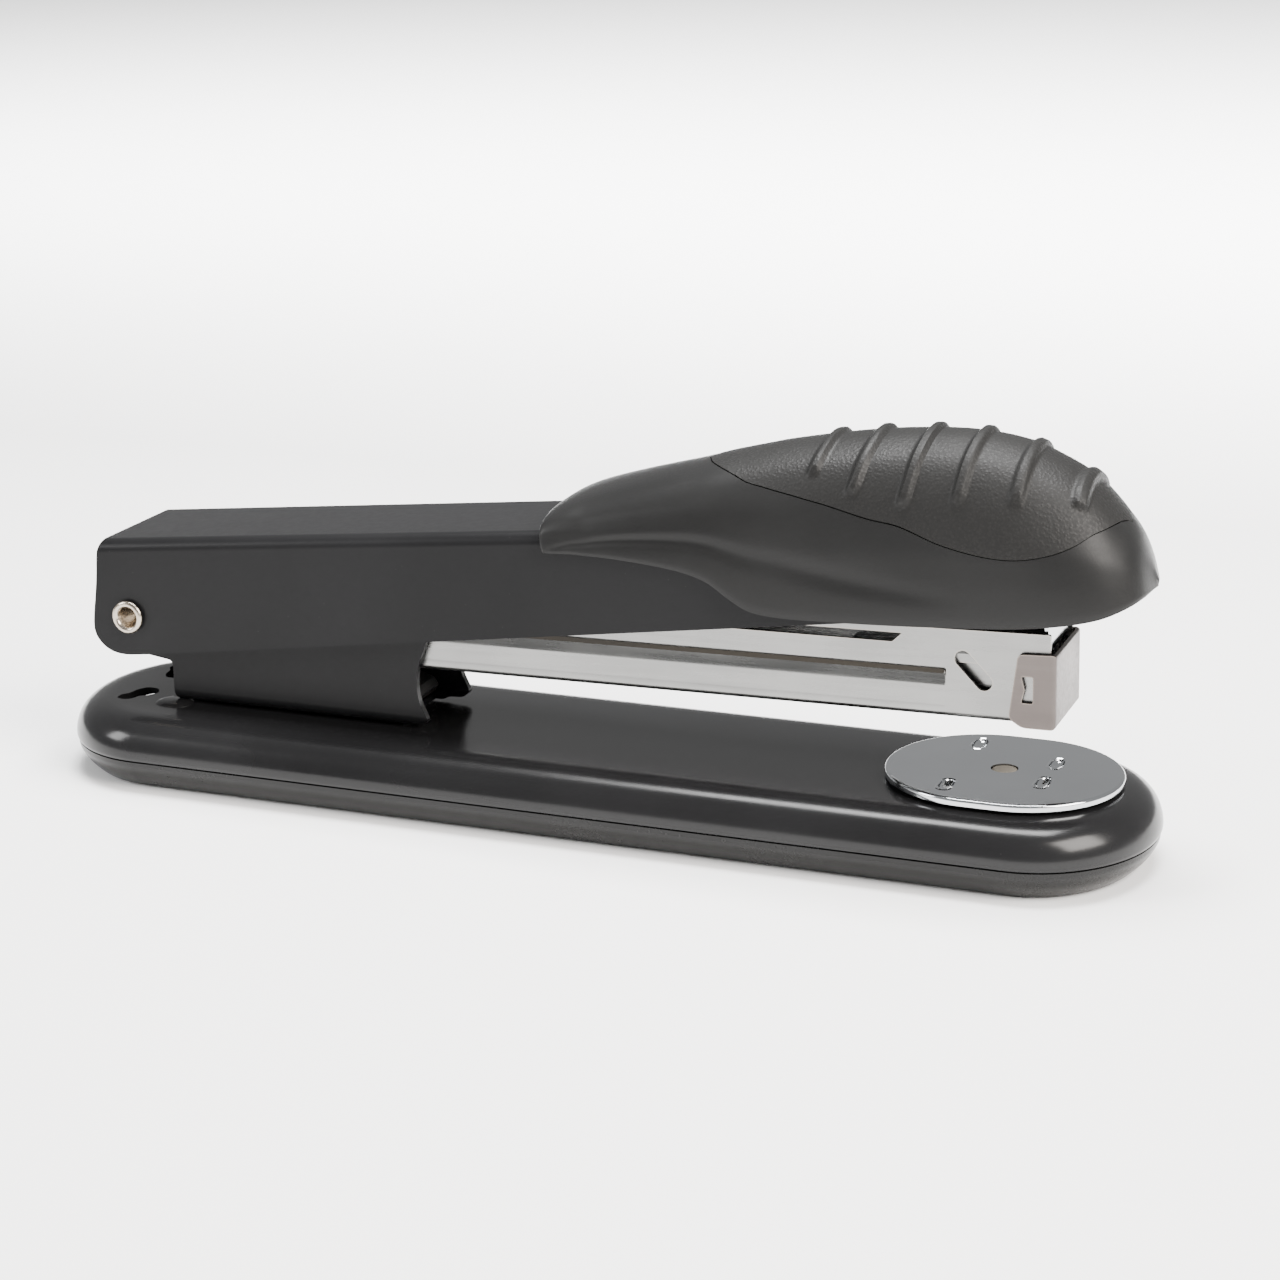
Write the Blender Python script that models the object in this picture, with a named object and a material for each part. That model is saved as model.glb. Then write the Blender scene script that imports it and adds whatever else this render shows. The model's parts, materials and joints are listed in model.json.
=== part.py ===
"""Full-strip desk stapler: base, bracket, magazine, pusher, anvil and sprung handle with a moulded grip.

X runs along the stapler with the head at +X, Y across it and Z up. Lengths below are millimetres.
"""

import math

import bmesh
import bpy
from mathutils import Vector

MM = 0.001
ROUND_STEPS = 24
SMOOTH_LIMIT = math.radians(40.0)

# Hinge line shared by the handle and the magazine
PIVOT_X = -75.5
PIVOT_Z = 26.5
HANDLE_PITCH = math.radians(5.8)
MAGAZINE_PITCH = math.radians(1.0)

# Base
BASE_HALF_LENGTH = 90.0
BASE_HALF_WIDTH = 20.9
BASE_END_RADIUS = 18.7
BASE_TOP = 11.6
SHELL_BOTTOM = 5.3
SHELL_WALL = 1.0
COVER_TOP = 5.0
COVER_TAPER = 3.9
COVER_WALL = 1.8
FOOT_RECESS = 0.8
KEYHOLE = (
    (-80.2, -9.6), (-78.4, -9.9), (-77.4, -8.9), (-77.2, -7.4), (-75.4, -6.6), (-75.0, -4.6),
    (-76.2, -2.9), (-78.2, -2.9), (-79.2, -4.6), (-79.4, -6.6), (-80.4, -7.8),
)
STUD_HOLE = 3.2
BRACKET_RIVETS = (-62.0, -36.0)
BRACKET_RIVET_HOLE = 1.75

# Nested half-widths, from the magazine outwards
MAGAZINE_OUT = 7.05
MAGAZINE_IN = 6.5
BRACKET_IN = 7.4
BRACKET_OUT = 8.5
HANDLE_IN = 10.65
HANDLE_OUT = 11.6
RAIL_OUT = 5.5
PUSHER_OUT = 6.25

# Pivot rivet
RIVET_SHANK = 2.1
RIVET_HOLE = 2.2
RIVET_HOLLOW = 1.65
RIVET_HEAD = 2.75
RIVET_REACH = 12.6
RIVET_SEAT = 11.85

# Handle channel, in the handle's own frame (u forward, w up from the hinge line)
HANDLE_TOP = 12.6
HANDLE_SHEET = 0.95
HANDLE_BEND = 2.0
HANDLE_FRONT = 147.6
FLANGE_END = 132.0
TONGUE_HALF_WIDTH = 9.0
SPRING_RIVET_U = 83.0
DRIVER_RIVET_U = 140.5
HANDLE_SIDE = (
    (-3.0, 13.0), (-3.6, 12.2), (-4.1, 11.2), (-4.5, 9.6), (-4.9, 7.2), (-5.6, 4.0), (-6.3, 1.4),
    (-6.8, -0.8), (-6.9, -2.2), (-6.6, -3.4), (-5.8, -4.6), (-4.6, -5.6), (-3.1, -6.2), (-1.4, -6.45),
    (2.4, -6.4),
    (119.8, -1.8), (130.5, -1.3), (FLANGE_END, 0.5), (FLANGE_END, 11.3), (HANDLE_FRONT, 11.3),
    (HANDLE_FRONT, 13.8), (-2.8, 13.8),
)

# Magazine channel, in the magazine's own frame
MAGAZINE_BOTTOM = -6.1
MAGAZINE_SHEET = 0.55
MAGAZINE_FRONT = 150.1
MAGAZINE_SIDE = (
    (-5.0, -3.6), (-4.2, -5.0), (1.8, MAGAZINE_BOTTOM - 0.1), (MAGAZINE_FRONT, MAGAZINE_BOTTOM - 0.1),
    (MAGAZINE_FRONT, 7.6), (128.0, 7.3), (61.0, 7.3), (57.5, 4.8), (4.8, 4.8), (1.8, 4.6), (-1.2, 3.8),
    (-4.2, 2.6), (-5.5, -0.6),
)
UPPER_SLOT = ((66.0, 4.8), (126.4, 4.8), (127.9, 6.2), (66.0, 6.2))
FLOOR_START = 6.8
FLOOR_END = 147.4
SLOT_ENDS = ((137.1, 3.0), (140.25, -0.35))
SLOT_RADIUS = 1.25
BEAD_LOW = -1.1
BEAD_HIGH = 1.3
BEAD_START = 48.8
BEAD_END = 134.6
BEAD_DEPTH = 0.28

# Nose plate
NOSE_FRONT = 151.1
NOSE_SHEET = 0.55
NOSE_OUT = 7.85
NOSE_SIDE = (
    (NOSE_FRONT, -6.5), (NOSE_FRONT, 4.8), (145.9, 4.6), (145.4, 4.2), (144.1, -5.2), (146.1, -6.5),
)
NOSE_WINDOW = ((146.0, -2.7), (147.7, -2.7), (147.7, 1.3), (146.0, 1.3), (146.5, -0.7))

# Staple rail and pusher
RAIL_TOP = 3.6
RAIL_SHEET = 0.6
RAIL_START = 9.8
RAIL_END = 148.4
RAIL_FOOT = -5.2
ROD_RADIUS = 1.1
ROD_HEIGHT = -1.2
PUSHER_BACK = 119.8
PUSHER_TIP = 148.7
PUSHER_SHEET = 0.55
PUSHER_ROOF = RAIL_TOP + 0.3
PUSHER_LEG = 2.2
PUSHER_STEM = (PUSHER_BACK + 1.5, PUSHER_BACK + 4.5)
ROD_BLOCK = (RAIL_START + 1.0, RAIL_START + 7.0)
FRONT_BLOCK = (RAIL_END - 5.0, RAIL_END - 1.0)
SPRING_RADIUS = 2.5
SPRING_WIRE = 0.35
SPRING_TURNS = 22

# Driver blade
BLADE_BACK = 149.1
BLADE_SHEET = 0.5
BLADE_HALF_WIDTH = 6.0
BLADE_TIP = -7.7

# Bracket outline in the row frame: x and z
BRACKET_FLOOR = 11.9
BRACKET_SIDE = (
    (-69.8, BRACKET_FLOOR), (-69.8, 18.7), (-75.6, 19.5), (-78.9, 20.1), (-81.2, 22.0), (-82.3, 25.2),
    (-81.8, 28.4), (-79.8, 31.0), (-76.7, 32.0), (-72.0, 32.2), (-40.0, 31.4), (-22.6, 30.2),
    (-23.0, 28.8), (-24.2, 26.2), (-25.3, 23.4), (-26.0, 20.8), (-26.1, 18.2), (-25.7, 16.2),
    (-24.8, 14.4), (-24.4, 13.5), (-24.7, 12.9), (-25.5, 12.6), (-27.6, 12.5), (-28.6, BRACKET_FLOOR),
)

# Anvil plate
ANVIL_X = 66.4
ANVIL_HALF_LENGTH = 17.95
ANVIL_HALF_WIDTH = 15.35
ANVIL_TOP = 13.3
ANVIL_SHEET = 1.4
ANVIL_HOLE = 2.05
STUD_RADIUS = 1.88
FORMING_POCKETS = ((-6.3, 9.7), (-6.3, -9.7), (6.9, 4.4), (6.9, -4.4))
POCKET_HALF_LENGTH = 2.5
POCKET_HALF_WIDTH = 1.1
POCKET_DEPTH = 0.7

# Grip surface: stations from the rear edge to the nose, as
# (position, rim u, rim half-width, rim w, crown u, crown w)
GRIP_STATIONS = (
    (0.00, 74.7, 13.15, 9.8, 73.8, 14.0),
    (0.03, 75.8, 13.2, 9.7, 74.6, 15.6),
    (0.08, 79.8, 13.25, 9.5, 79.0, 17.4),
    (0.16, 87.7, 13.35, 8.5, 87.3, 19.2),
    (0.25, 96.1, 13.45, 6.8, 96.8, 20.8),
    (0.30, 100.5, 13.5, 5.1, 101.8, 21.8),
    (0.34, 103.7, 13.55, 2.6, 106.8, 22.6),
    (0.38, 106.8, 13.6, 0.6, 110.8, 23.2),
    (0.43, 111.4, 13.7, -0.4, 115.8, 23.7),
    (0.50, 118.9, 13.8, -1.0, 121.8, 24.15),
    (0.58, 128.8, 13.9, -1.6, 129.8, 24.35),
    (0.67, 138.8, 14.0, -2.0, 138.8, 23.85),
    (0.75, 146.8, 13.9, -2.2, 146.3, 22.2),
    (0.81, 152.8, 13.1, -2.1, 151.3, 19.8),
    (0.87, 158.0, 11.4, -1.7, 156.0, 16.6),
    (0.92, 161.4, 9.0, -0.9, 159.7, 12.3),
    (0.96, 163.6, 5.6, -0.1, 162.6, 8.0),
    (1.00, 164.6, 0.0, 0.3, 164.8, 1.3),
)
# Cross-section from the rim to the crown, as (half-width fraction, height fraction)
REAR_PROFILE = (
    (1, 0), (0.995, 0.2), (0.975, 0.45), (0.93, 0.68), (0.82, 0.85), (0.58, 0.95), (0.3, 0.99), (0, 1),
)
BODY_PROFILE = (
    (1, 0), (0.99, 0.12), (0.965, 0.27), (0.935, 0.45), (0.84, 0.68), (0.63, 0.87), (0.33, 0.97), (0, 1),
)
NOSE_PROFILE = (
    (1, 0), (1.0, 0.14), (0.98, 0.31), (0.92, 0.51), (0.76, 0.73), (0.55, 0.89), (0.28, 0.975), (0, 1),
)
GRIP_SIDE_WALL = 1.0
GRIP_TOP_WALL = 2.3
GRIP_STEPS_ALONG = 38
GRIP_STEPS_ACROSS = 10

# Grip pad: half-extent from the crown line at each station, and the ribs as (crown u, half-extent)
PAD_EDGE = (
    (0.265, 0.0), (0.285, 0.13), (0.34, 0.30), (0.387, 0.35), (0.50, 0.43), (0.575, 0.49), (0.623, 0.52),
    (0.69, 0.59), (0.752, 0.63), (0.80, 0.63), (0.845, 0.58), (0.885, 0.48), (0.92, 0.31), (0.945, 0.0),
)
PAD_RIBS = ((118.65, 0.32), (125.75, 0.41), (133.6, 0.46), (141.0, 0.45), (148.45, 0.43), (155.85, 0.36))
RIB_HALF_WIDTH = 1.2
RIB_SWEEP = 0.11
RIB_HEIGHT = 0.75
PAD_RISE = 0.12
PAD_DEPTH = 0.85
PAD_GAP = 0.3
PAD_STEPS_ACROSS = 12


def clear_scene():
    for item in list(bpy.data.objects):
        bpy.data.objects.remove(item, do_unlink=True)


def make_material(name, colour, roughness, metallic):
    material = bpy.data.materials.new(name)
    material.use_nodes = True
    shader = material.node_tree.nodes["Principled BSDF"]
    shader.inputs["Base Color"].default_value = (*colour, 1.0)
    shader.inputs["Roughness"].default_value = roughness
    shader.inputs["Metallic"].default_value = metallic
    return material


def add_empty(name, location, pitch):
    empty = bpy.data.objects.new(name, None)
    empty.location = Vector(location) * MM
    empty.rotation_euler = (0.0, -pitch, 0.0)
    bpy.context.scene.collection.objects.link(empty)
    return empty


def add_object(name, mesh, material, parent=None, smooth=False):
    """Turn a bmesh in millimetres into a named object with its normals facing out."""
    for vert in mesh.verts:
        vert.co *= MM
    bmesh.ops.recalc_face_normals(mesh, faces=mesh.faces)
    data = bpy.data.meshes.new(name)
    mesh.to_mesh(data)
    mesh.free()
    if smooth:
        data.polygons.foreach_set("use_smooth", [True] * len(data.polygons))
        data.set_sharp_from_angle(angle=SMOOTH_LIMIT)
    data.materials.append(material)
    item = bpy.data.objects.new(name, data)
    item.parent = parent
    bpy.context.scene.collection.objects.link(item)
    return item


def combine(target, operation, name, mesh, parent=None):
    """Add a hidden helper body and a Boolean that applies it to the target."""
    helper = add_object(name, mesh, target.data.materials[0], parent)
    helper.display_type = "WIRE"
    helper.hide_render = True
    modifier = target.modifiers.new(name, "BOOLEAN")
    modifier.operation = operation
    modifier.solver = "EXACT"
    modifier.object = helper
    return helper


def prism(outline, low, high, plane="XZ"):
    """Extrude a flat outline: an XZ outline along Y, an XY one along Z, a YZ one along X."""
    place = {
        "XZ": lambda a, b, c: (a, c, b),
        "XY": lambda a, b, c: (a, b, c),
        "YZ": lambda a, b, c: (c, a, b),
    }[plane]
    mesh = bmesh.new()
    near = [mesh.verts.new(place(a, b, low)) for a, b in outline]
    far = [mesh.verts.new(place(a, b, high)) for a, b in outline]
    count = len(outline)
    mesh.faces.new(near)
    mesh.faces.new(far[::-1])
    for index in range(count):
        following = (index + 1) % count
        mesh.faces.new((near[index], near[following], far[following], far[index]))
    return mesh


def box(low, high):
    outline = ((low[0], low[1]), (high[0], low[1]), (high[0], high[1]), (low[0], high[1]))
    return prism(outline, low[2], high[2], "XY")


def ring(radius, steps=ROUND_STEPS, centre=(0.0, 0.0)):
    angles = [2 * math.pi * index / steps for index in range(steps)]
    return [(centre[0] + radius * math.cos(a), centre[1] + radius * math.sin(a)) for a in angles]


def loft(rings, closed=False):
    """Skin successive rings of points; cap the ends, or join the last ring to the first."""
    mesh = bmesh.new()
    loops = [[mesh.verts.new(point) for point in points] for points in rings]
    count = len(loops[0])
    pairs = list(zip(loops, loops[1:]))
    if closed:
        pairs.append((loops[-1], loops[0]))
    for first, second in pairs:
        for index in range(count):
            following = (index + 1) % count
            mesh.faces.new((first[index], first[following], second[following], second[index]))
    if not closed:
        mesh.faces.new(loops[0][::-1])
        mesh.faces.new(loops[-1])
    return mesh


def turned(profile, axis="Z", centre=(0.0, 0.0, 0.0), steps=ROUND_STEPS, closed=False):
    """Turn a profile of (radius, height) about an axis through a centre."""
    rings = []
    for radius, height in profile:
        if axis == "Z":
            points = [(centre[0] + a, centre[1] + b, centre[2] + height) for a, b in ring(radius, steps)]
        else:
            points = [(centre[0] + a, centre[1] + height, centre[2] + b) for a, b in ring(radius, steps)]
        rings.append(points)
    return loft(rings, closed)


def stadium(half_length, half_width, end_radius, inset=0.0, steps=16, centre_x=0.0):
    """Rounded slot outline whose ends are half-ellipses; an inset moves it inwards evenly."""
    straight = half_length - end_radius
    reach = end_radius - inset
    width = half_width - inset
    points = []
    for side, start in ((1, -0.5), (-1, 0.5)):
        for index in range(steps + 1):
            angle = math.pi * (start + index / steps)
            points.append((centre_x + side * straight + reach * math.cos(angle), width * math.sin(angle)))
    return points


def channel_section(outer, sheet, bend, top, bottom, opening_down):
    """U section in the YZ plane with rounded bends."""
    sign = 1 if opening_down else -1
    roof = top if opening_down else bottom
    foot = bottom if opening_down else top
    steps = 4
    outside = []
    for index in range(steps + 1):
        angle = 0.5 * math.pi * index / steps
        drop = bend - bend * math.sin(angle)
        outside.append((outer - bend + bend * math.cos(angle), roof - sign * drop))
    inner_bend = bend - sheet
    inside = []
    for index in range(steps + 1):
        angle = 0.5 * math.pi * index / steps
        drop = bend - inner_bend * math.sin(angle)
        inside.append((outer - bend + inner_bend * math.cos(angle), roof - sign * drop))
    right = [(outer, foot)] + outside
    left = [(-a, b) for a, b in reversed(right)]
    inner_left = [(-a, b) for a, b in [(outer - sheet, foot)] + inside]
    inner_right = [(-a, b) for a, b in reversed(inner_left)]
    return right + left + inner_left + inner_right


def strip(path, sheet, half_width):
    """Bent flat strip: a path in XZ thickened by the sheet and extruded across Y."""
    upper = []
    lower = []
    for index, point in enumerate(path):
        before = Vector(path[max(index - 1, 0)])
        after = Vector(path[min(index + 1, len(path) - 1)])
        along = (after - before).normalized()
        normal = Vector((-along.y, along.x)) * sheet / 2
        upper.append(tuple(Vector(point) + normal))
        lower.append(tuple(Vector(point) - normal))
    return prism(upper + lower[::-1], -half_width, half_width)


def interpolate(rows, position):
    """Smooth cubic through rows whose first entry is the position."""
    last = len(rows) - 1
    index = 0
    while index < last - 1 and position > rows[index + 1][0]:
        index += 1
    span = rows[index + 1][0] - rows[index][0]
    part = (position - rows[index][0]) / span
    result = []
    for column in range(1, len(rows[0])):
        start = rows[index][column]
        end = rows[index + 1][column]
        before = rows[max(index - 1, 0)]
        after = rows[min(index + 2, last)]
        slope_in = (end - before[column]) / (rows[index + 1][0] - before[0])
        slope_out = (after[column] - start) / (after[0] - rows[index][0])
        square = part * part
        cube = square * part
        value = (2 * cube - 3 * square + 1) * start + (cube - 2 * square + part) * slope_in * span
        value += (3 * square - 2 * cube) * end + (cube - square) * slope_out * span
        result.append(value)
    return result


def section_fraction(station, height):
    """Half-width and height fractions at a station, for a height parameter from rim (0) to crown (1)."""
    values = []
    for profile in (REAR_PROFILE, BODY_PROFILE, NOSE_PROFILE):
        mirrored = (*profile, (-profile[-2][0], profile[-2][1]))
        rows = [(index / (len(profile) - 1), *pair) for index, pair in enumerate(mirrored)]
        values.append(interpolate(rows, height))
    rear_share = max(0.0, 1.0 - station / 0.10)
    nose_share = min(max((station - 0.45) / 0.35, 0.0), 1.0)
    body_share = 1.0 - rear_share - nose_share
    shares = (rear_share, body_share, nose_share)
    return [sum(share * value[axis] for share, value in zip(shares, values)) for axis in range(2)]


def grip_point(station, across):
    """Point of the grip's outer surface; across runs from -1 at one rim to 1 at the other."""
    rim_u, rim_y, rim_w, crown_u, crown_w = interpolate(GRIP_STATIONS, station)
    wide, high = section_fraction(station, 1.0 - abs(across))
    side = 1.0 if across >= 0 else -1.0
    return Vector((
        rim_u + (crown_u - rim_u) * high,
        side * max(rim_y, 0.0) * max(wide, 0.0),
        rim_w + (crown_w - rim_w) * high,
    ))


def grip_normal(station, across):
    step = 0.004
    low = min(max(station - step, 0.0), 1.0 - 2 * step)
    along = grip_point(low + 2 * step, across) - grip_point(low, across)
    left = max(across - step, -1.0)
    right = min(across + step, 1.0)
    sideways = grip_point(min(station, 0.985), right) - grip_point(min(station, 0.985), left)
    return along.cross(sideways).normalized()


def thicken(grid, top_offset, bottom_offset, ends):
    """Closed body between two offsets of a surface patch given as rows of (point, normal).

    Ends are "poles" when the first and last rows are single points, or "zip" when the last row folds
    onto itself so that its two halves meet.
    """
    mesh = bmesh.new()
    final = len(grid) - 1
    width = len(grid[0])
    layers = []
    for offset in (top_offset, bottom_offset):
        rows = []
        for row_index, row in enumerate(grid):
            count = width
            if ends == "poles" and row_index in (0, final):
                count = 1
            if ends == "zip" and row_index == final:
                count = width // 2 + 1
            verts = []
            for col, (point, normal) in enumerate(row[:count]):
                verts.append(mesh.verts.new(point + normal * offset(row_index, col)))
            if count == 1:
                verts = verts * width
            elif count < width:
                verts += verts[-2::-1]
            rows.append(verts)
        layers.append(rows)
    for layer, rows in enumerate(layers):
        for first, second in zip(rows, rows[1:]):
            for col in range(width - 1):
                corners = []
                for vert in (first[col], first[col + 1], second[col + 1], second[col]):
                    if vert not in corners:
                        corners.append(vert)
                mesh.faces.new(corners if layer == 0 else corners[::-1])
    upper, lower = layers
    edge = [(row, 0) for row in range(final + 1)]
    edge += [(row, width - 1) for row in range(final, -1, -1)]
    edge += [(0, col) for col in range(width - 2, 0, -1)]
    border = []
    for row, col in edge:
        pair = (upper[row][col], lower[row][col])
        if pair not in border[-1:] + border[:1]:
            border.append(pair)
    for index, (top, bottom) in enumerate(border):
        following = border[(index + 1) % len(border)]
        mesh.faces.new((top, bottom, following[1], following[0]))
    return mesh


def pad_grid(margin, stations):
    """Grid over the pad's outline, widened by a margin in millimetres."""
    first = PAD_EDGE[0][0] - margin * 0.02
    last = PAD_EDGE[-1][0] + margin * 0.01
    grid = []
    for station in stations:
        station = first + (last - first) * station
        inner = PAD_EDGE[0][0] + (PAD_EDGE[-1][0] - PAD_EDGE[0][0]) * (station - first) / (last - first)
        reach = max(interpolate(PAD_EDGE, inner)[0], 0.0)
        if 0.0 < station - first and 0.0 < last - station:
            reach += margin * 0.045
        part = (station - first) / (last - first)
        row = []
        for col in range(PAD_STEPS_ACROSS + 1):
            across = reach * (2 * col / PAD_STEPS_ACROSS - 1)
            swept = station - RIB_SWEEP * across * across * 4 * part * (1 - part)
            point = grip_point(swept, across)
            row.append((point, grip_normal(swept, across), grip_point(station, 0.0).x, across))
        grid.append(row)
    return grid


def rib_height(crown_u, across):
    """Raised height of the pad's cross ribs on the row that starts at a point of the crown."""
    for rib_u, reach in PAD_RIBS:
        distance = abs(crown_u - rib_u)
        if distance < RIB_HALF_WIDTH:
            fade = min(max((reach - abs(across)) / 0.05, 0.0), 1.0)
            return RIB_HEIGHT * fade * 0.5 * (1 + math.cos(math.pi * distance / RIB_HALF_WIDTH))
    return 0.0


def helix(radius, wire, turns, start, end, height):
    """Round-wire coil along X, closed at both ends."""
    steps = 9
    sides = 5
    rings = []
    for index in range(turns * steps + 1):
        angle = 2 * math.pi * index / steps
        centre = Vector((start + (end - start) * index / (turns * steps), 0.0, height))
        outward = Vector((0.0, math.cos(angle), math.sin(angle)))
        forward = Vector((1.0, 0.0, 0.0))
        points = []
        for side in range(sides):
            turn = 2 * math.pi * side / sides
            reach = radius + wire * math.cos(turn)
            points.append(centre + outward * reach + forward * wire * math.sin(turn))
        rings.append(points)
    return loft(rings)


clear_scene()

black_paint = make_material("black_paint", (0.022, 0.022, 0.022), 0.28, 0.0)
black_plastic = make_material("black_plastic", (0.02, 0.02, 0.02), 0.42, 0.0)
grip_plastic = make_material("grip_plastic", (0.035, 0.035, 0.035), 0.42, 0.0)
grip_rubber = make_material("grip_rubber", (0.032, 0.031, 0.03), 0.55, 0.0)
bright_nickel = make_material("bright_nickel", (0.66, 0.65, 0.62), 0.22, 1.0)
satin_nickel = make_material("satin_nickel", (0.62, 0.59, 0.56), 0.34, 1.0)
chrome_plate = make_material("chrome_plate", (0.70, 0.72, 0.74), 0.10, 1.0)
spring_steel = make_material("spring_steel", (0.45, 0.44, 0.42), 0.30, 1.0)
rivet_steel = make_material("rivet_steel", (0.60, 0.56, 0.50), 0.28, 1.0)
cream_plastic = make_material("cream_plastic", (0.46, 0.43, 0.38), 0.5, 0.0)
foot_rubber = make_material("foot_rubber", (0.03, 0.03, 0.03), 0.8, 0.0)

handle_axis = add_empty("handle_axis", (PIVOT_X, 0.0, PIVOT_Z), HANDLE_PITCH)
magazine_axis = add_empty("magazine_axis", (PIVOT_X, 0.0, PIVOT_Z), MAGAZINE_PITCH)
anvil_axis = add_empty("anvil_axis", (ANVIL_X, 0.0, 0.0), 0.0)


def base_ring(inset, height):
    outline = stadium(BASE_HALF_LENGTH, BASE_HALF_WIDTH, BASE_END_RADIUS, inset)
    return [(x, y, height) for x, y in outline]


# Base shell: pressed steel lid with a rolled edge
shell_rings = [
    base_ring(inset, height)
    for inset, height in (
        (SHELL_WALL, SHELL_BOTTOM), (0.15, SHELL_BOTTOM), (0.0, 5.9), (0.15, 7.2), (0.75, 8.8), (1.8, 10.1),
        (3.3, 11.05), (5.0, 11.5), (6.6, BASE_TOP), (6.6, BASE_TOP - SHELL_WALL), (5.1, 10.5), (3.7, 10.1),
        (2.5, 9.4), (1.7, 8.4), (1.15, 7.1),
    )
]
shell_mesh = bmesh.new()
shell_loops = [[shell_mesh.verts.new(point) for point in points] for points in shell_rings]
crown_index = 8
for index in range(len(shell_loops)):
    if index == crown_index:
        continue
    first = shell_loops[index]
    second = shell_loops[(index + 1) % len(shell_loops)]
    for side in range(len(first)):
        following = (side + 1) % len(first)
        shell_mesh.faces.new((first[side], first[following], second[following], second[side]))
shell_mesh.faces.new(shell_loops[crown_index])
shell_mesh.faces.new(shell_loops[crown_index + 1][::-1])
base_shell = add_object("base_shell", shell_mesh, black_paint, smooth=True)
combine(base_shell, "DIFFERENCE", "keyhole_near", prism(KEYHOLE, 9.0, 13.0, "XY"))
combine(base_shell, "DIFFERENCE", "keyhole_far", prism([(x, -y) for x, y in KEYHOLE], 9.0, 13.0, "XY"))
stud_hole = turned(((STUD_HOLE, 9.0), (STUD_HOLE, 13.0)), centre=(ANVIL_X, 0, 0))
combine(base_shell, "DIFFERENCE", "stud_hole", stud_hole)
for index, rivet_x in enumerate(BRACKET_RIVETS):
    hole = turned(((BRACKET_RIVET_HOLE, 9.0), (BRACKET_RIVET_HOLE, 14.0)), centre=(rivet_x, 0, 0), steps=16)
    combine(base_shell, "DIFFERENCE", f"shell_rivet_hole_{index}", hole)

# Base cover: moulded tray below the shell, resting on its rim and pads
cover_rings = [
    base_ring(inset, height)
    for inset, height in (
        (7.4, FOOT_RECESS), (6.6, 0.0), (COVER_TAPER + 0.3, 0.0), (COVER_TAPER - 0.7, 0.5), (1.5, 2.2),
        (0.45, 3.9), (0.25, COVER_TOP), (2.0, COVER_TOP), (3.2, 2.9), (5.2, FOOT_RECESS + COVER_WALL),
    )
]
base_cover = add_object("base_cover", loft(cover_rings), black_plastic, smooth=True)
for name, centre_x in (("foot_pad_front", 62.0), ("foot_pad_rear", -62.0)):
    pad_rings = []
    for inset, height in ((0.4, 0.0), (0.0, 0.25), (0.0, FOOT_RECESS - 0.25)):
        outline = stadium(17.0, 8.0, 8.0, inset, 8, centre_x)
        pad_rings.append([(x, y, height) for x, y in outline])
    add_object(name, loft(pad_rings), foot_rubber)

# Bracket: folded channel riveted to the base
section = channel_section(BRACKET_OUT, BRACKET_OUT - BRACKET_IN, 2.0, 34.0, BRACKET_FLOOR, False)
bracket = add_object("bracket", prism(section, -84.0, -20.0, "YZ"), black_paint)
combine(bracket, "INTERSECT", "bracket_side", prism(BRACKET_SIDE, -10.0, 10.0))
combine(bracket, "DIFFERENCE", "bracket_floor_end", box((-30.0, -6.4, 11.0), (-20.0, 6.4, 14.5)))
ear_hole = turned(((RIVET_HOLE, -12.0), (RIVET_HOLE, 12.0)), "Y", (PIVOT_X, 0, PIVOT_Z))
combine(bracket, "DIFFERENCE", "bracket_pivot_hole", ear_hole)
for index, rivet_x in enumerate(BRACKET_RIVETS):
    hole = turned(((BRACKET_RIVET_HOLE, 11.0), (BRACKET_RIVET_HOLE, 14.0)), centre=(rivet_x, 0, 0), steps=16)
    combine(bracket, "DIFFERENCE", f"bracket_rivet_hole_{index}", hole)

# Bracket rivets: domed head above the floor, spread tail under the shell
BRACKET_RIVET_SEATS = (("bracket_rivet_rear", 13.3), ("bracket_rivet_front", 14.1))
for rivet_x, (name, seat) in zip(BRACKET_RIVETS, BRACKET_RIVET_SEATS):
    profile = (
        (2.3, 9.2), (2.8, 9.6), (2.8, 10.3), (1.5, 10.3), (1.5, seat), (3.0, seat), (2.9, seat + 0.5),
        (2.2, seat + 1.0), (1.0, seat + 1.25),
    )
    add_object(name, turned(profile, centre=(rivet_x, 0, 0)), rivet_steel, smooth=True)

# Lift spring: leaf that carries the magazine
lift_path = [(-41.5, 13.62), (-31.0, 13.62), (-29.6, 13.9), (-29.0, 14.9), (-29.7, 15.9), (-33.0, 17.0),
             (-40.0, 18.9), (-46.0, 20.3), (-48.0, 20.6), (-50.0, 20.2)]
lift_spring = add_object("lift_spring", strip(lift_path, 0.45, 5.2), spring_steel)
hole_profile = ((BRACKET_RIVET_HOLE, 12.8), (BRACKET_RIVET_HOLE, 14.5))
spring_hole = turned(hole_profile, centre=(BRACKET_RIVETS[1], 0, 0), steps=16)
combine(lift_spring, "DIFFERENCE", "lift_spring_hole", spring_hole)

# Pivot rivet: tubular, with both ends rolled over
half = (
    (RIVET_SHANK, RIVET_SEAT), (RIVET_HEAD - 0.1, RIVET_SEAT), (RIVET_HEAD, RIVET_SEAT + 0.2),
    (RIVET_HEAD - 0.15, RIVET_REACH - 0.2), (2.2, RIVET_REACH), (RIVET_HOLLOW, RIVET_REACH - 0.1),
    (RIVET_HOLLOW - 0.1, RIVET_REACH - 0.6),
)
profile = [*half, *[(radius, -reach) for radius, reach in reversed(half)]]
rivet_mesh = turned(profile, "Y", (PIVOT_X, 0, PIVOT_Z), closed=True)
add_object("pivot_rivet", rivet_mesh, rivet_steel, smooth=True)

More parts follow.
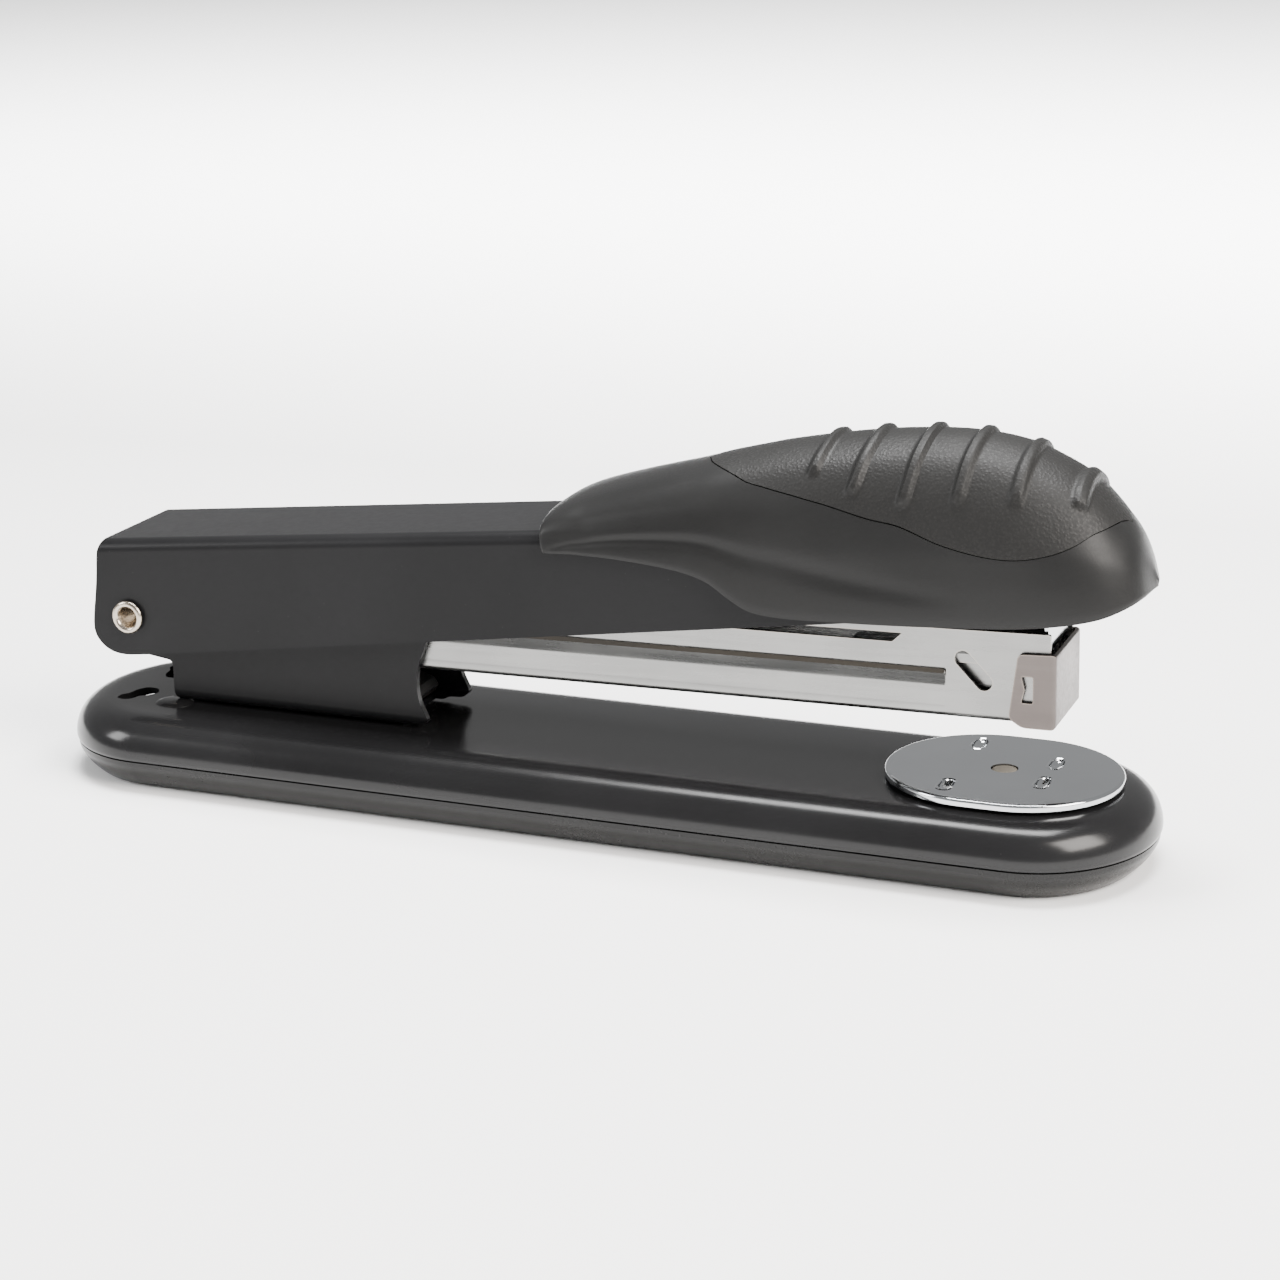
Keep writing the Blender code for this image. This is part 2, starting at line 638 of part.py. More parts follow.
# Anvil: plate, stud, spring washer and retainer
plate_rings = []
for inset, drop in ((0.5, ANVIL_SHEET), (0.0, 0.75), (0.0, 0.3), (0.35, 0.0)):
    outline = stadium(ANVIL_HALF_LENGTH, ANVIL_HALF_WIDTH, 15.5, inset, 16)
    plate_rings.append([(x, y, ANVIL_TOP - drop) for x, y in outline])
anvil_plate = add_object("anvil_plate", loft(plate_rings), chrome_plate, anvil_axis, True)
plate_hole = turned(((ANVIL_HOLE, 11.0), (ANVIL_HOLE, 14.0)))
combine(anvil_plate, "DIFFERENCE", "anvil_hole", plate_hole, anvil_axis)
for index, (pocket_x, pocket_y) in enumerate(FORMING_POCKETS):
    outline = stadium(POCKET_HALF_LENGTH, POCKET_HALF_WIDTH, POCKET_HALF_WIDTH, 0.0, 4)
    turned_outline = [(pocket_x + b, pocket_y + a) for a, b in outline]
    pocket = prism(turned_outline, ANVIL_TOP - POCKET_DEPTH, ANVIL_TOP + 1.0, "XY")
    combine(anvil_plate, "DIFFERENCE", f"forming_pocket_{index}", pocket, anvil_axis)
profile = (
    (1.6, 7.9), (2.2, 8.1), (2.2, 8.9), (1.7, 8.9), (1.7, 9.5), (2.9, 9.5), (2.9, 11.6), (STUD_RADIUS, 11.6),
    (STUD_RADIUS, 13.1), (1.6, 13.2),
)
add_object("anvil_stud", turned(profile), cream_plastic, anvil_axis, True)
profile = ((1.95, 8.95), (4.6, 8.95), (4.6, 9.25), (1.95, 9.25))
add_object("anvil_retainer", turned(profile, closed=True), spring_steel, anvil_axis, True)
profile = ((3.3, 9.7), (5.2, 10.05), (5.2, 10.35), (3.3, 10.0))
add_object("anvil_spring", turned(profile, centre=(ANVIL_X, 0, 0), closed=True), spring_steel, smooth=True)

# Magazine channel
section = channel_section(MAGAZINE_OUT, MAGAZINE_SHEET, 1.0, 10.0, MAGAZINE_BOTTOM, False)
magazine = add_object("magazine_channel", prism(section, -6.0, 153.0, "YZ"), bright_nickel, magazine_axis)
combine(magazine, "INTERSECT", "magazine_side", prism(MAGAZINE_SIDE, -9.0, 9.0), magazine_axis)
cut = box((-7.5, -6.0, -7.6), (FLOOR_START, 6.0, -3.8))
combine(magazine, "DIFFERENCE", "magazine_rear_floor", cut, magazine_axis)
cut = box((FLOOR_END, -6.0, -7.6), (154.0, 6.0, -3.8))
combine(magazine, "DIFFERENCE", "magazine_mouth", cut, magazine_axis)
hole = turned(((RIVET_HOLE, -9.0), (RIVET_HOLE, 9.0)), "Y")
combine(magazine, "DIFFERENCE", "magazine_pivot_hole", hole, magazine_axis)
slot = []
run = Vector(SLOT_ENDS[1]) - Vector(SLOT_ENDS[0])
heading = math.atan2(run.y, run.x)
for end, start in ((SLOT_ENDS[1], -0.5), (SLOT_ENDS[0], 0.5)):
    for index in range(9):
        angle = heading + math.pi * (start + index / 8)
        slot.append((end[0] + SLOT_RADIUS * math.cos(angle), end[1] + SLOT_RADIUS * math.sin(angle)))
combine(magazine, "DIFFERENCE", "latch_slot", prism(slot, -9.0, 9.0), magazine_axis)
combine(magazine, "DIFFERENCE", "upper_slot", prism(UPPER_SLOT, -9.0, 9.0), magazine_axis)
bead_floor = MAGAZINE_OUT - BEAD_DEPTH
for name, low, high in (("bead_near", -8.0, -bead_floor), ("bead_far", bead_floor, 8.0)):
    bead = box((BEAD_START, low, BEAD_LOW), (BEAD_END, high, BEAD_HIGH))
    combine(magazine, "DIFFERENCE", name, bead, magazine_axis)

# Nose plate wrapped round the magazine's front
front = NOSE_FRONT
back = 139.0
inner = front - NOSE_SHEET
corner = 0.8
outer_half = [
    (back, NOSE_OUT), (front - corner, NOSE_OUT), (front - 0.25, NOSE_OUT - 0.25), (front, NOSE_OUT - corner),
]
inner_out = NOSE_OUT - NOSE_SHEET
inner_half = [(back, inner_out), (inner - 0.2, inner_out), (inner, inner_out - 0.2)]
nose_plan = [(x, -y) for x, y in outer_half] + outer_half[::-1]
nose_plan += inner_half + [(x, -y) for x, y in inner_half[::-1]]
nose = add_object("nose_plate", prism(nose_plan, -8.0, 8.0, "XY"), satin_nickel, magazine_axis)
combine(nose, "INTERSECT", "nose_side", prism(NOSE_SIDE, -9.0, 9.0), magazine_axis)
combine(nose, "DIFFERENCE", "nose_window", prism(NOSE_WINDOW, -9.0, 9.0), magazine_axis)

# Staple rail, its rivets, and the rod and block that carry the pusher spring
section = channel_section(RAIL_OUT, RAIL_SHEET, 1.0, RAIL_TOP, RAIL_FOOT, True)
rail = add_object("staple_rail", prism(section, RAIL_START, RAIL_END, "YZ"), bright_nickel, magazine_axis)
block = box((ROD_BLOCK[0], -4.6, RAIL_FOOT + 0.1), (ROD_BLOCK[1], 4.6, 2.6))
add_object("rod_block", block, black_plastic, magazine_axis)
block = box((FRONT_BLOCK[0], -4.6, RAIL_FOOT + 0.1), (FRONT_BLOCK[1], 4.6, 2.6))
add_object("rail_nose_block", block, black_plastic, magazine_axis)
rod_ends = (ROD_BLOCK[1] + 0.3, FRONT_BLOCK[0] - 0.3)
rod = [[(x, a, ROD_HEIGHT + b) for a, b in ring(ROD_RADIUS, 16)] for x in rod_ends]
add_object("guide_rod", loft(rod), spring_steel, magazine_axis, True)
coil = helix(SPRING_RADIUS, SPRING_WIRE, SPRING_TURNS, ROD_BLOCK[1] + 0.7, PUSHER_STEM[0] - 0.7, ROD_HEIGHT)
add_object("pusher_spring", coil, spring_steel, magazine_axis, True)

# Pusher: folded cap straddling the rail
section = channel_section(PUSHER_OUT, PUSHER_SHEET, 0.9, PUSHER_ROOF + PUSHER_SHEET, PUSHER_LEG, True)
add_object("staple_pusher", prism(section, PUSHER_BACK, PUSHER_TIP, "YZ"), bright_nickel, magazine_axis)

# Handle channel
section = channel_section(HANDLE_OUT, HANDLE_SHEET, HANDLE_BEND, HANDLE_TOP, -8.0, True)
handle = add_object("handle_channel", prism(section, -8.0, 156.0, "YZ"), black_paint, handle_axis)
combine(handle, "INTERSECT", "handle_side", prism(HANDLE_SIDE, -11.0, 11.0), handle_axis)
for side in (-1, 1):
    edge, past = sorted((side * TONGUE_HALF_WIDTH, side * 12.0))
    corner_cut = box((FLANGE_END, edge, 9.0), (156.0, past, 14.0))
    combine(handle, "DIFFERENCE", f"handle_shoulder_{side + 1}", corner_cut, handle_axis)
hole = turned(((RIVET_HOLE, -12.0), (RIVET_HOLE, 12.0)), "Y")
combine(handle, "DIFFERENCE", "handle_pivot_hole", hole, handle_axis)
for name, rivet_u in (("spring_rivet_hole", SPRING_RIVET_U), ("driver_rivet_hole", DRIVER_RIVET_U)):
    hole = turned(((1.75, 9.0), (1.75, 14.0)), centre=(rivet_u, 0, 0), steps=16)
    combine(handle, "DIFFERENCE", name, hole, handle_axis)

# Driver blade: upright blade with a flange riveted under the handle
PLATE_UNDER = HANDLE_TOP - HANDLE_SHEET
FLANGE_TOP = PLATE_UNDER - 0.25
blade_front = BLADE_BACK + BLADE_SHEET
blade_side = (
    (blade_front, BLADE_TIP), (blade_front, FLANGE_TOP - 0.4), (blade_front - 0.4, FLANGE_TOP),
    (135.2, FLANGE_TOP), (135.2, FLANGE_TOP - BLADE_SHEET), (BLADE_BACK - 0.2, FLANGE_TOP - BLADE_SHEET),
    (BLADE_BACK, FLANGE_TOP - BLADE_SHEET - 0.2), (BLADE_BACK, BLADE_TIP),
)
blade_mesh = prism(blade_side, -BLADE_HALF_WIDTH, BLADE_HALF_WIDTH)
blade = add_object("driver_blade", blade_mesh, chrome_plate, handle_axis)
hole = turned(((1.75, 9.0), (1.75, 14.0)), centre=(DRIVER_RIVET_U, 0, 0), steps=16)
combine(blade, "DIFFERENCE", "blade_rivet_hole", hole, handle_axis)

# Return spring: leaf that holds the handle up off the magazine
leaf_path = [
    (87.3, 11.2), (76.8, 11.2), (72.8, 10.7), (64.8, 7.8), (54.8, 3.8), (46.8, 1.3), (43.3, 1.0),
    (39.8, 1.85),
]
leaf = add_object("return_spring", strip(leaf_path, 0.45, 4.6), spring_steel, handle_axis)
hole = turned(((1.75, 9.0), (1.75, 14.0)), centre=(SPRING_RIVET_U, 0, 0), steps=16)
combine(leaf, "DIFFERENCE", "leaf_rivet_hole", hole, handle_axis)
for name, rivet_u in (("spring_rivet", SPRING_RIVET_U), ("driver_rivet", DRIVER_RIVET_U)):
    profile = (
        (1.2, 9.2), (2.4, 9.6), (2.8, 10.3), (2.8, 10.55), (1.45, 10.55), (1.45, 12.9), (2.9, 12.9),
        (2.6, 13.4), (1.4, 13.7),
    )
    add_object(name, turned(profile, centre=(rivet_u, 0, 0)), rivet_steel, handle_axis, True)

# Grip cap: moulded shell over the handle's front
grid = []
for row in range(GRIP_STEPS_ALONG + 1):
    station = row / GRIP_STEPS_ALONG
    columns = []
    for col in range(2 * GRIP_STEPS_ACROSS + 1):
        across = col / GRIP_STEPS_ACROSS - 1.0
        normal = grip_normal(station, across)
        if row == GRIP_STEPS_ALONG:
            normal = Vector((normal.x, 0.0, normal.z)).normalized()
        columns.append((grip_point(station, across), normal))
    grid.append(columns)


def wall_thickness(row, col):
    """The wall is thin beside the steel handle and thick under the pad."""
    height = 1.0 - abs(col / GRIP_STEPS_ACROSS - 1.0)
    station = row / GRIP_STEPS_ALONG
    past_flanges = min(max((station - 0.62) / 0.06, 0.0), 1.0)
    top_start = 0.45 - 0.15 * past_flanges
    forward_share = min(max((station - 0.12) / 0.2, 0.0), 1.0)
    top_share = forward_share * min(max((height - top_start) / 0.12, 0.0), 1.0)
    return -(GRIP_SIDE_WALL + (GRIP_TOP_WALL - GRIP_SIDE_WALL) * top_share)


cap_mesh = thicken(grid, lambda row, col: 0.0, wall_thickness, "zip")
grip_cap = add_object("grip_cap", cap_mesh, grip_plastic, handle_axis, True)

# Grip pad with its cross ribs, let into a pocket of the cap
pad_stations = sorted({index / 34 for index in range(35)})
pocket_grid = pad_grid(PAD_GAP, pad_stations)
pocket = thicken(
    [[entry[:2] for entry in row] for row in pocket_grid],
    lambda row, col: 1.5,
    lambda row, col: -(PAD_DEPTH + PAD_GAP),
    "poles",
)
combine(grip_cap, "DIFFERENCE", "pad_pocket", pocket, handle_axis)
rib_stations = {index / 22 for index in range(23)}
first_station, last_station = PAD_EDGE[0][0], PAD_EDGE[-1][0]
for rib_u, _ in PAD_RIBS:
    low, high = 0.0, 1.0
    for _ in range(30):
        middle = (low + high) / 2
        if grip_point(middle, 0.0).x < rib_u:
            low = middle
        else:
            high = middle
    pace = grip_point(low + 0.005, 0.0).x - grip_point(low - 0.005, 0.0).x
    for step in (-1.0, -0.5, 0.0, 0.5, 1.0):
        station = low + step * RIB_HALF_WIDTH * 0.01 / pace
        rib_stations.add((station - first_station) / (last_station - first_station))
rib_stations = sorted(rib_stations)
spaced = [rib_stations[0]]
for station in rib_stations[1:]:
    if station - spaced[-1] > 0.006:
        spaced.append(station)
spaced[-1] = 1.0
ribbed_grid = pad_grid(0.0, spaced)
pad_mesh = thicken(
    [[entry[:2] for entry in row] for row in ribbed_grid],
    lambda row, col: PAD_RISE + rib_height(ribbed_grid[row][col][2], ribbed_grid[row][col][3]),
    lambda row, col: -PAD_DEPTH,
    "poles",
)
add_object("grip_pad", pad_mesh, grip_rubber, handle_axis, True)
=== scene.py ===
"""Looks of the desk stapler: finer grip and sheet-metal surfaces, materials, studio and camera.

Shapes are built in millimetres, each in the frame of the body that carries it.
"""

import json
import math

import bmesh
import bpy
from mathutils import Matrix, Vector


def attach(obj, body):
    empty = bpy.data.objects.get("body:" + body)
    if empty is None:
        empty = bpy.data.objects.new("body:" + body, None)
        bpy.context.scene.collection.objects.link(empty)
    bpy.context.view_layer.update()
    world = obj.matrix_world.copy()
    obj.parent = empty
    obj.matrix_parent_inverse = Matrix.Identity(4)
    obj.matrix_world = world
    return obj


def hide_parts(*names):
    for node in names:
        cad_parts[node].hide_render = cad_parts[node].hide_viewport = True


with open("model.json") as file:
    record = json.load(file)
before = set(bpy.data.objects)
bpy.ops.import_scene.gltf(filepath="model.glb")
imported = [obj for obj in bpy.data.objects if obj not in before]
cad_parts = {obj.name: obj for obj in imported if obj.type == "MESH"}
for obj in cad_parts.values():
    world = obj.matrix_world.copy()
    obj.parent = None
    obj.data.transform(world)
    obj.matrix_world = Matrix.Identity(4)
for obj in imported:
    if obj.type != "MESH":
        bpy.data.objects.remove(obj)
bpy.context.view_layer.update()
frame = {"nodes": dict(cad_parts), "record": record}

MM = 0.001
SMOOTH_LIMIT = math.radians(38.0)

# The camera: its direction round the object, its roll, distance and aim
CAMERA_AZIMUTH = math.radians(21.488)
CAMERA_ELEVATION = math.radians(16.921)
CAMERA_ROLL = math.radians(-0.725)
CAMERA_DISTANCE = 0.44725
CAMERA_AIM = Vector((0.008334, 0.0, 0.027479))
CAMERA_LENS = 81.436
SENSOR = 36.0

ROUND_STEPS = 48
END_STEPS = 56

# Hinge line shared by the handle and the magazine
PIVOT_X = -75.5
PIVOT_Z = 26.5
HANDLE_PITCH = math.radians(5.8)
MAGAZINE_PITCH = math.radians(1.0)

# Base
BASE_HALF_LENGTH = 90.0
BASE_HALF_WIDTH = 20.9
BASE_END_RADIUS = 18.7
BASE_TOP = 11.6
SHELL_BOTTOM = 5.3
SHELL_WALL = 1.0
COVER_TOP = 5.0
COVER_TAPER = 3.9
COVER_WALL = 1.8
FOOT_RECESS = 0.8
KEYHOLE = (
    (-80.2, -9.6), (-78.4, -9.9), (-77.4, -8.9), (-77.2, -7.4), (-75.4, -6.6), (-75.0, -4.6),
    (-76.2, -2.9), (-78.2, -2.9), (-79.2, -4.6), (-79.4, -6.6), (-80.4, -7.8),
)
STUD_HOLE = 3.2
BRACKET_RIVETS = (-62.0, -36.0)
BRACKET_RIVET_HOLE = 1.75

# Nested half-widths, from the magazine outwards
MAGAZINE_OUT = 7.05
MAGAZINE_IN = 6.5
BRACKET_IN = 7.4
BRACKET_OUT = 8.5
HANDLE_OUT = 11.6

# Pivot rivet
RIVET_SHANK = 2.1
RIVET_HOLE = 2.2
RIVET_HOLLOW = 1.65
RIVET_HEAD = 2.75
RIVET_REACH = 12.6
RIVET_SEAT = 11.85

# Handle channel, in the handle's own frame (u forward, w up from the hinge line)
HANDLE_TOP = 12.6
HANDLE_SHEET = 0.95
HANDLE_BEND = 2.0
HANDLE_FRONT = 147.6
FLANGE_END = 132.0
TONGUE_HALF_WIDTH = 9.0
SPRING_RIVET_U = 83.0
DRIVER_RIVET_U = 140.5
HANDLE_RIVET_HOLE = 1.75
HANDLE_SIDE = (
    (-3.0, 13.0), (-3.6, 12.2), (-4.1, 11.2), (-4.5, 9.6), (-4.9, 7.2), (-5.6, 4.0), (-6.3, 1.4),
    (-6.8, -0.8), (-6.9, -2.2), (-6.6, -3.4), (-5.8, -4.6), (-4.6, -5.6), (-3.1, -6.2), (-1.4, -6.45),
    (2.4, -6.4), (119.8, -1.8), (130.5, -1.3), (FLANGE_END, 0.5), (FLANGE_END, 11.3), (HANDLE_FRONT, 11.3),
    (HANDLE_FRONT, 13.8), (-2.8, 13.8),
)

# Magazine channel, in the magazine's own frame
MAGAZINE_BOTTOM = -6.1
MAGAZINE_SHEET = 0.55
MAGAZINE_FRONT = 150.1
MAGAZINE_SIDE = (
    (-5.0, -3.6), (-4.2, -5.0), (1.8, MAGAZINE_BOTTOM - 0.1), (MAGAZINE_FRONT, MAGAZINE_BOTTOM - 0.1),
    (MAGAZINE_FRONT, 7.6), (128.0, 7.3), (61.0, 7.3), (57.5, 4.8), (4.8, 4.8), (1.8, 4.6), (-1.2, 3.8),
    (-4.2, 2.6), (-5.5, -0.6),
)
UPPER_SLOT = ((66.0, 4.8), (126.4, 4.8), (127.9, 6.2), (66.0, 6.2))
FLOOR_START = 6.8
FLOOR_END = 147.4
SLOT_ENDS = ((137.1, 3.0), (140.25, -0.35))
SLOT_RADIUS = 1.25
BEAD_LOW = -1.1
BEAD_HIGH = 1.3
BEAD_START = 48.8
BEAD_END = 134.6

# Nose plate
NOSE_FRONT = 151.1
NOSE_BACK = 139.0
NOSE_SHEET = 0.55
NOSE_OUT = 7.85
NOSE_SIDE = (
    (NOSE_FRONT, -6.5), (NOSE_FRONT, 4.8), (145.9, 4.6), (145.4, 4.2), (144.1, -5.2), (146.1, -6.5),
)
NOSE_WINDOW = ((146.0, -2.7), (147.7, -2.7), (147.7, 1.3), (146.0, 1.3), (146.5, -0.7))

# Bracket outline in the row frame: x and z
BRACKET_FLOOR = 11.9
BRACKET_SIDE = (
    (-69.8, BRACKET_FLOOR), (-69.8, 18.7), (-75.6, 19.5), (-78.9, 20.1), (-81.2, 22.0), (-82.3, 25.2),
    (-81.8, 28.4), (-79.8, 31.0), (-76.7, 32.0), (-72.0, 32.2), (-40.0, 31.4), (-22.6, 30.2),
    (-23.0, 28.8), (-24.2, 26.2), (-25.3, 23.4), (-26.0, 20.8), (-26.1, 18.2), (-25.7, 16.2),
    (-24.8, 14.4), (-24.4, 13.5), (-24.7, 12.9), (-25.5, 12.6), (-27.6, 12.5), (-28.6, BRACKET_FLOOR),
)

# Anvil plate
ANVIL_X = 66.4
ANVIL_HALF_LENGTH = 17.95
ANVIL_HALF_WIDTH = 15.35
ANVIL_END_RADIUS = 15.5
ANVIL_TOP = 13.3
ANVIL_HOLE = 2.05
FORMING_POCKETS = ((-6.3, 9.7), (-6.3, -9.7), (6.9, 4.4), (6.9, -4.4))
POCKET_HALF_LENGTH = 2.5
POCKET_HALF_WIDTH = 1.1
POCKET_SCOOP = 0.85

# Grip surface: stations from the rear edge to the nose, as
# (position, rim u, rim half-width, rim w, crown u, crown w)
GRIP_STATIONS = (
    (0.00, 74.7, 13.15, 9.8, 73.8, 14.0),
    (0.03, 75.8, 13.2, 9.7, 74.6, 15.6),
    (0.08, 79.8, 13.25, 9.5, 79.0, 17.4),
    (0.16, 87.7, 13.35, 8.5, 87.3, 19.2),
    (0.25, 96.1, 13.45, 6.8, 96.8, 20.8),
    (0.30, 100.5, 13.5, 5.1, 101.8, 21.8),
    (0.34, 103.7, 13.55, 2.6, 106.8, 22.6),
    (0.38, 106.8, 13.6, 0.6, 110.8, 23.2),
    (0.43, 111.4, 13.7, -0.4, 115.8, 23.7),
    (0.50, 118.9, 13.8, -1.0, 121.8, 24.15),
    (0.58, 128.8, 13.9, -1.6, 129.8, 24.35),
    (0.67, 138.8, 14.0, -2.0, 138.8, 23.85),
    (0.75, 146.8, 13.9, -2.2, 146.3, 22.2),
    (0.81, 152.8, 13.1, -2.1, 151.3, 19.8),
    (0.87, 158.0, 11.4, -1.7, 156.0, 16.6),
    (0.92, 161.4, 9.0, -0.9, 159.7, 12.3),
    (0.96, 163.6, 5.6, -0.1, 162.6, 8.0),
    (1.00, 164.6, 0.0, 0.3, 164.8, 1.3),
)
# Cross-section from the rim to the crown, as (half-width fraction, height fraction)
REAR_PROFILE = (
    (1, 0), (0.995, 0.2), (0.975, 0.45), (0.93, 0.68), (0.82, 0.85), (0.58, 0.95), (0.3, 0.99), (0, 1),
)
BODY_PROFILE = (
    (1, 0), (0.99, 0.12), (0.965, 0.27), (0.935, 0.45), (0.84, 0.68), (0.63, 0.87), (0.33, 0.97), (0, 1),
)
NOSE_PROFILE = (
    (1, 0), (1.0, 0.14), (0.98, 0.31), (0.92, 0.51), (0.76, 0.73), (0.55, 0.89), (0.28, 0.975), (0, 1),
)
GRIP_SIDE_WALL = 1.0
GRIP_TOP_WALL = 2.3
GRIP_STEPS_ALONG = 150
GRIP_STEPS_ACROSS = 36

# Grip pad: half-extent from the crown line at each station, and the ribs as (crown u, half-extent)
PAD_EDGE = (
    (0.265, 0.0), (0.285, 0.13), (0.34, 0.30), (0.387, 0.35), (0.50, 0.43), (0.575, 0.49), (0.623, 0.52),
    (0.69, 0.59), (0.752, 0.63), (0.80, 0.63), (0.845, 0.58), (0.885, 0.48), (0.92, 0.31), (0.945, 0.0),
)
PAD_RIBS = ((118.65, 0.32), (125.75, 0.41), (133.6, 0.46), (141.0, 0.45), (148.45, 0.43), (155.85, 0.36))
RIB_HALF_WIDTH = 1.2
RIB_SWEEP = 0.11
RIB_HEIGHT = 0.75
PAD_RISE = 0.03
PAD_DEPTH = 0.85
PAD_GAP = 0.08
PAD_STEPS_ALONG = 230
PAD_STEPS_ACROSS = 56


class Surface:
    """A Principled material built up node by node."""

    def __init__(self, name, **values):
        self.material = bpy.data.materials.new(name)
        self.material.use_nodes = True
        self.nodes = self.material.node_tree.nodes
        self.links = self.material.node_tree.links
        self.shader = self.nodes["Principled BSDF"]
        for socket, value in values.items():
            self.shader.inputs[socket.replace("_", " ")].default_value = value
        self.place = self.nodes.new("ShaderNodeTexCoord").outputs["Object"]

    def node(self, kind, **inputs):
        node = self.nodes.new(kind)
        for key, value in inputs.items():
            if hasattr(value, "is_linked"):
                self.links.new(value, node.inputs[key])
            else:
                node.inputs[key].default_value = value
        return node

    def stretched(self, scale):
        return self.node("ShaderNodeMapping", Vector=self.place, Scale=scale).outputs["Vector"]

    def noise(self, scale, detail=4.0, rough=0.5, place=None):
        where = place or self.place
        node = self.node("ShaderNodeTexNoise", Vector=where, Scale=scale, Detail=detail, Roughness=rough)
        return node.outputs["Fac"]

    def cells(self, scale, feature="F1"):
        node = self.node("ShaderNodeTexVoronoi", Vector=self.place, Scale=scale)
        node.feature = feature
        return node.outputs["Distance"]

    def spread(self, value, low, high, from_low=0.3, from_high=0.7):
        node = self.nodes.new("ShaderNodeMapRange")
        self.links.new(value, node.inputs["Value"])
        node.inputs["From Min"].default_value = from_low
        node.inputs["From Max"].default_value = from_high
        node.inputs["To Min"].default_value = low
        node.inputs["To Max"].default_value = high
        return node.outputs["Result"]

    def math(self, operation, first, second):
        node = self.nodes.new("ShaderNodeMath")
        node.operation = operation
        for socket, value in zip(node.inputs, (first, second)):
            if hasattr(value, "is_linked"):
                self.links.new(value, socket)
            else:
                socket.default_value = value
        return node.outputs[0]

    def blend(self, share, first, second):
        node = self.nodes.new("ShaderNodeMix")
        node.data_type = "RGBA"
        self.links.new(share, node.inputs["Factor"])
        for socket, value in ((node.inputs["A"], first), (node.inputs["B"], second)):
            if hasattr(value, "is_linked"):
                self.links.new(value, socket)
            else:
                socket.default_value = (*value, 1.0)
        return node.outputs["Result"]

    def edges(self, radius=0.0004):
        """How far a point lies on a worn convex edge, from 0 to 1."""
        bevel = self.nodes.new("ShaderNodeBevel")
        bevel.inputs["Radius"].default_value = radius
        bevel.samples = 4
        geometry = self.nodes.new("ShaderNodeNewGeometry")
        dot = self.nodes.new("ShaderNodeVectorMath")
        dot.operation = "DOT_PRODUCT"
        self.links.new(bevel.outputs["Normal"], dot.inputs[0])
        self.links.new(geometry.outputs["Normal"], dot.inputs[1])
        return self.spread(dot.outputs["Value"], 1.0, 0.0, 0.75, 0.97)

    def bump(self, height, distance, strength=1.0, below=None):
        node = self.node("ShaderNodeBump", Height=height, Distance=distance, Strength=strength)
        if below is not None:
            self.links.new(below, node.inputs["Normal"])
        return node.outputs["Normal"]

    def set(self, socket, value):
        self.links.new(value, self.shader.inputs[socket])


def scaled(colour, factor):
    """The colour made lighter or darker."""
    return tuple(factor * part for part in colour)


def painted_steel(name, base, rough, level):
    """Stove-enamelled steel: faint orange peel and sparse dust specks."""
    surface = Surface(name, Specular_IOR_Level=level)
    wide = surface.noise(35.0, 3.0)
    fine = surface.noise(900.0, 2.0)
    speck = surface.spread(surface.cells(420.0), 1.0, 0.0, 0.0, 0.045)
    tone = surface.blend(surface.spread(wide, 0.0, 1.0), base, scaled(base, 1.5))
    surface.set("Base Color", surface.blend(surface.math("MULTIPLY", speck, 0.5), tone, (0.05, 0.05, 0.048)))
    mixed = surface.math("ADD", wide, surface.math("MULTIPLY", fine, 0.4))
    surface.set("Roughness", surface.spread(mixed, rough - 0.03, rough + 0.05, 0.45, 0.95))
    peel = surface.bump(fine, 0.00001, 0.2)
    surface.set("Normal", surface.bump(surface.noise(160.0, 1.0), 0.00003, 0.2, peel))
    return surface.material


def moulded(name, base, rough, grain_scale, grain_depth, level=0.35):
    """Injection-moulded plastic with a fine spark-eroded grain."""
    surface = Surface(name, Specular_IOR_Level=level)
    grain = surface.noise(grain_scale, 3.0, 0.6)
    wide = surface.noise(60.0, 2.0)
    surface.set("Base Color", surface.blend(surface.spread(wide, 0.0, 1.0), base, scaled(base, 1.25)))
    mixed = surface.math("ADD", grain, wide)
    surface.set("Roughness", surface.spread(mixed, rough - 0.05, rough + 0.07, 0.7, 1.3))
    surface.set("Normal", surface.bump(grain, grain_depth, 0.6))
    return surface.material


def leather_grain(name, base, rough):
    """Soft pad with a pebbled grain: its crowns are raised by the bump and painted lighter as a highlight,
    its hollows painted darker as shade.
    """
    surface = Surface(name, Specular_IOR_Level=0.2)
    pebble = surface.cells(2300.0, "SMOOTH_F1")
    wide = surface.noise(45.0, 2.0)
    crown = surface.spread(pebble, 1.0, 0.0, 0.05, 0.55)
    # Painted highlight and shade: the base colour is lighter on the grain crowns and darker in the hollows
    # between them
    surface.set("Base Color", surface.blend(crown, scaled(base, 0.8), scaled(base, 1.25)))
    mixed = surface.math("ADD", pebble, wide)
    surface.set("Roughness", surface.spread(mixed, rough - 0.07, rough + 0.08, 0.5, 1.1))
    fine = surface.bump(surface.noise(5200.0, 2.0), 0.00002, 0.4)
    surface.set("Normal", surface.bump(crown, 0.00005, 0.6, fine))
    return surface.material


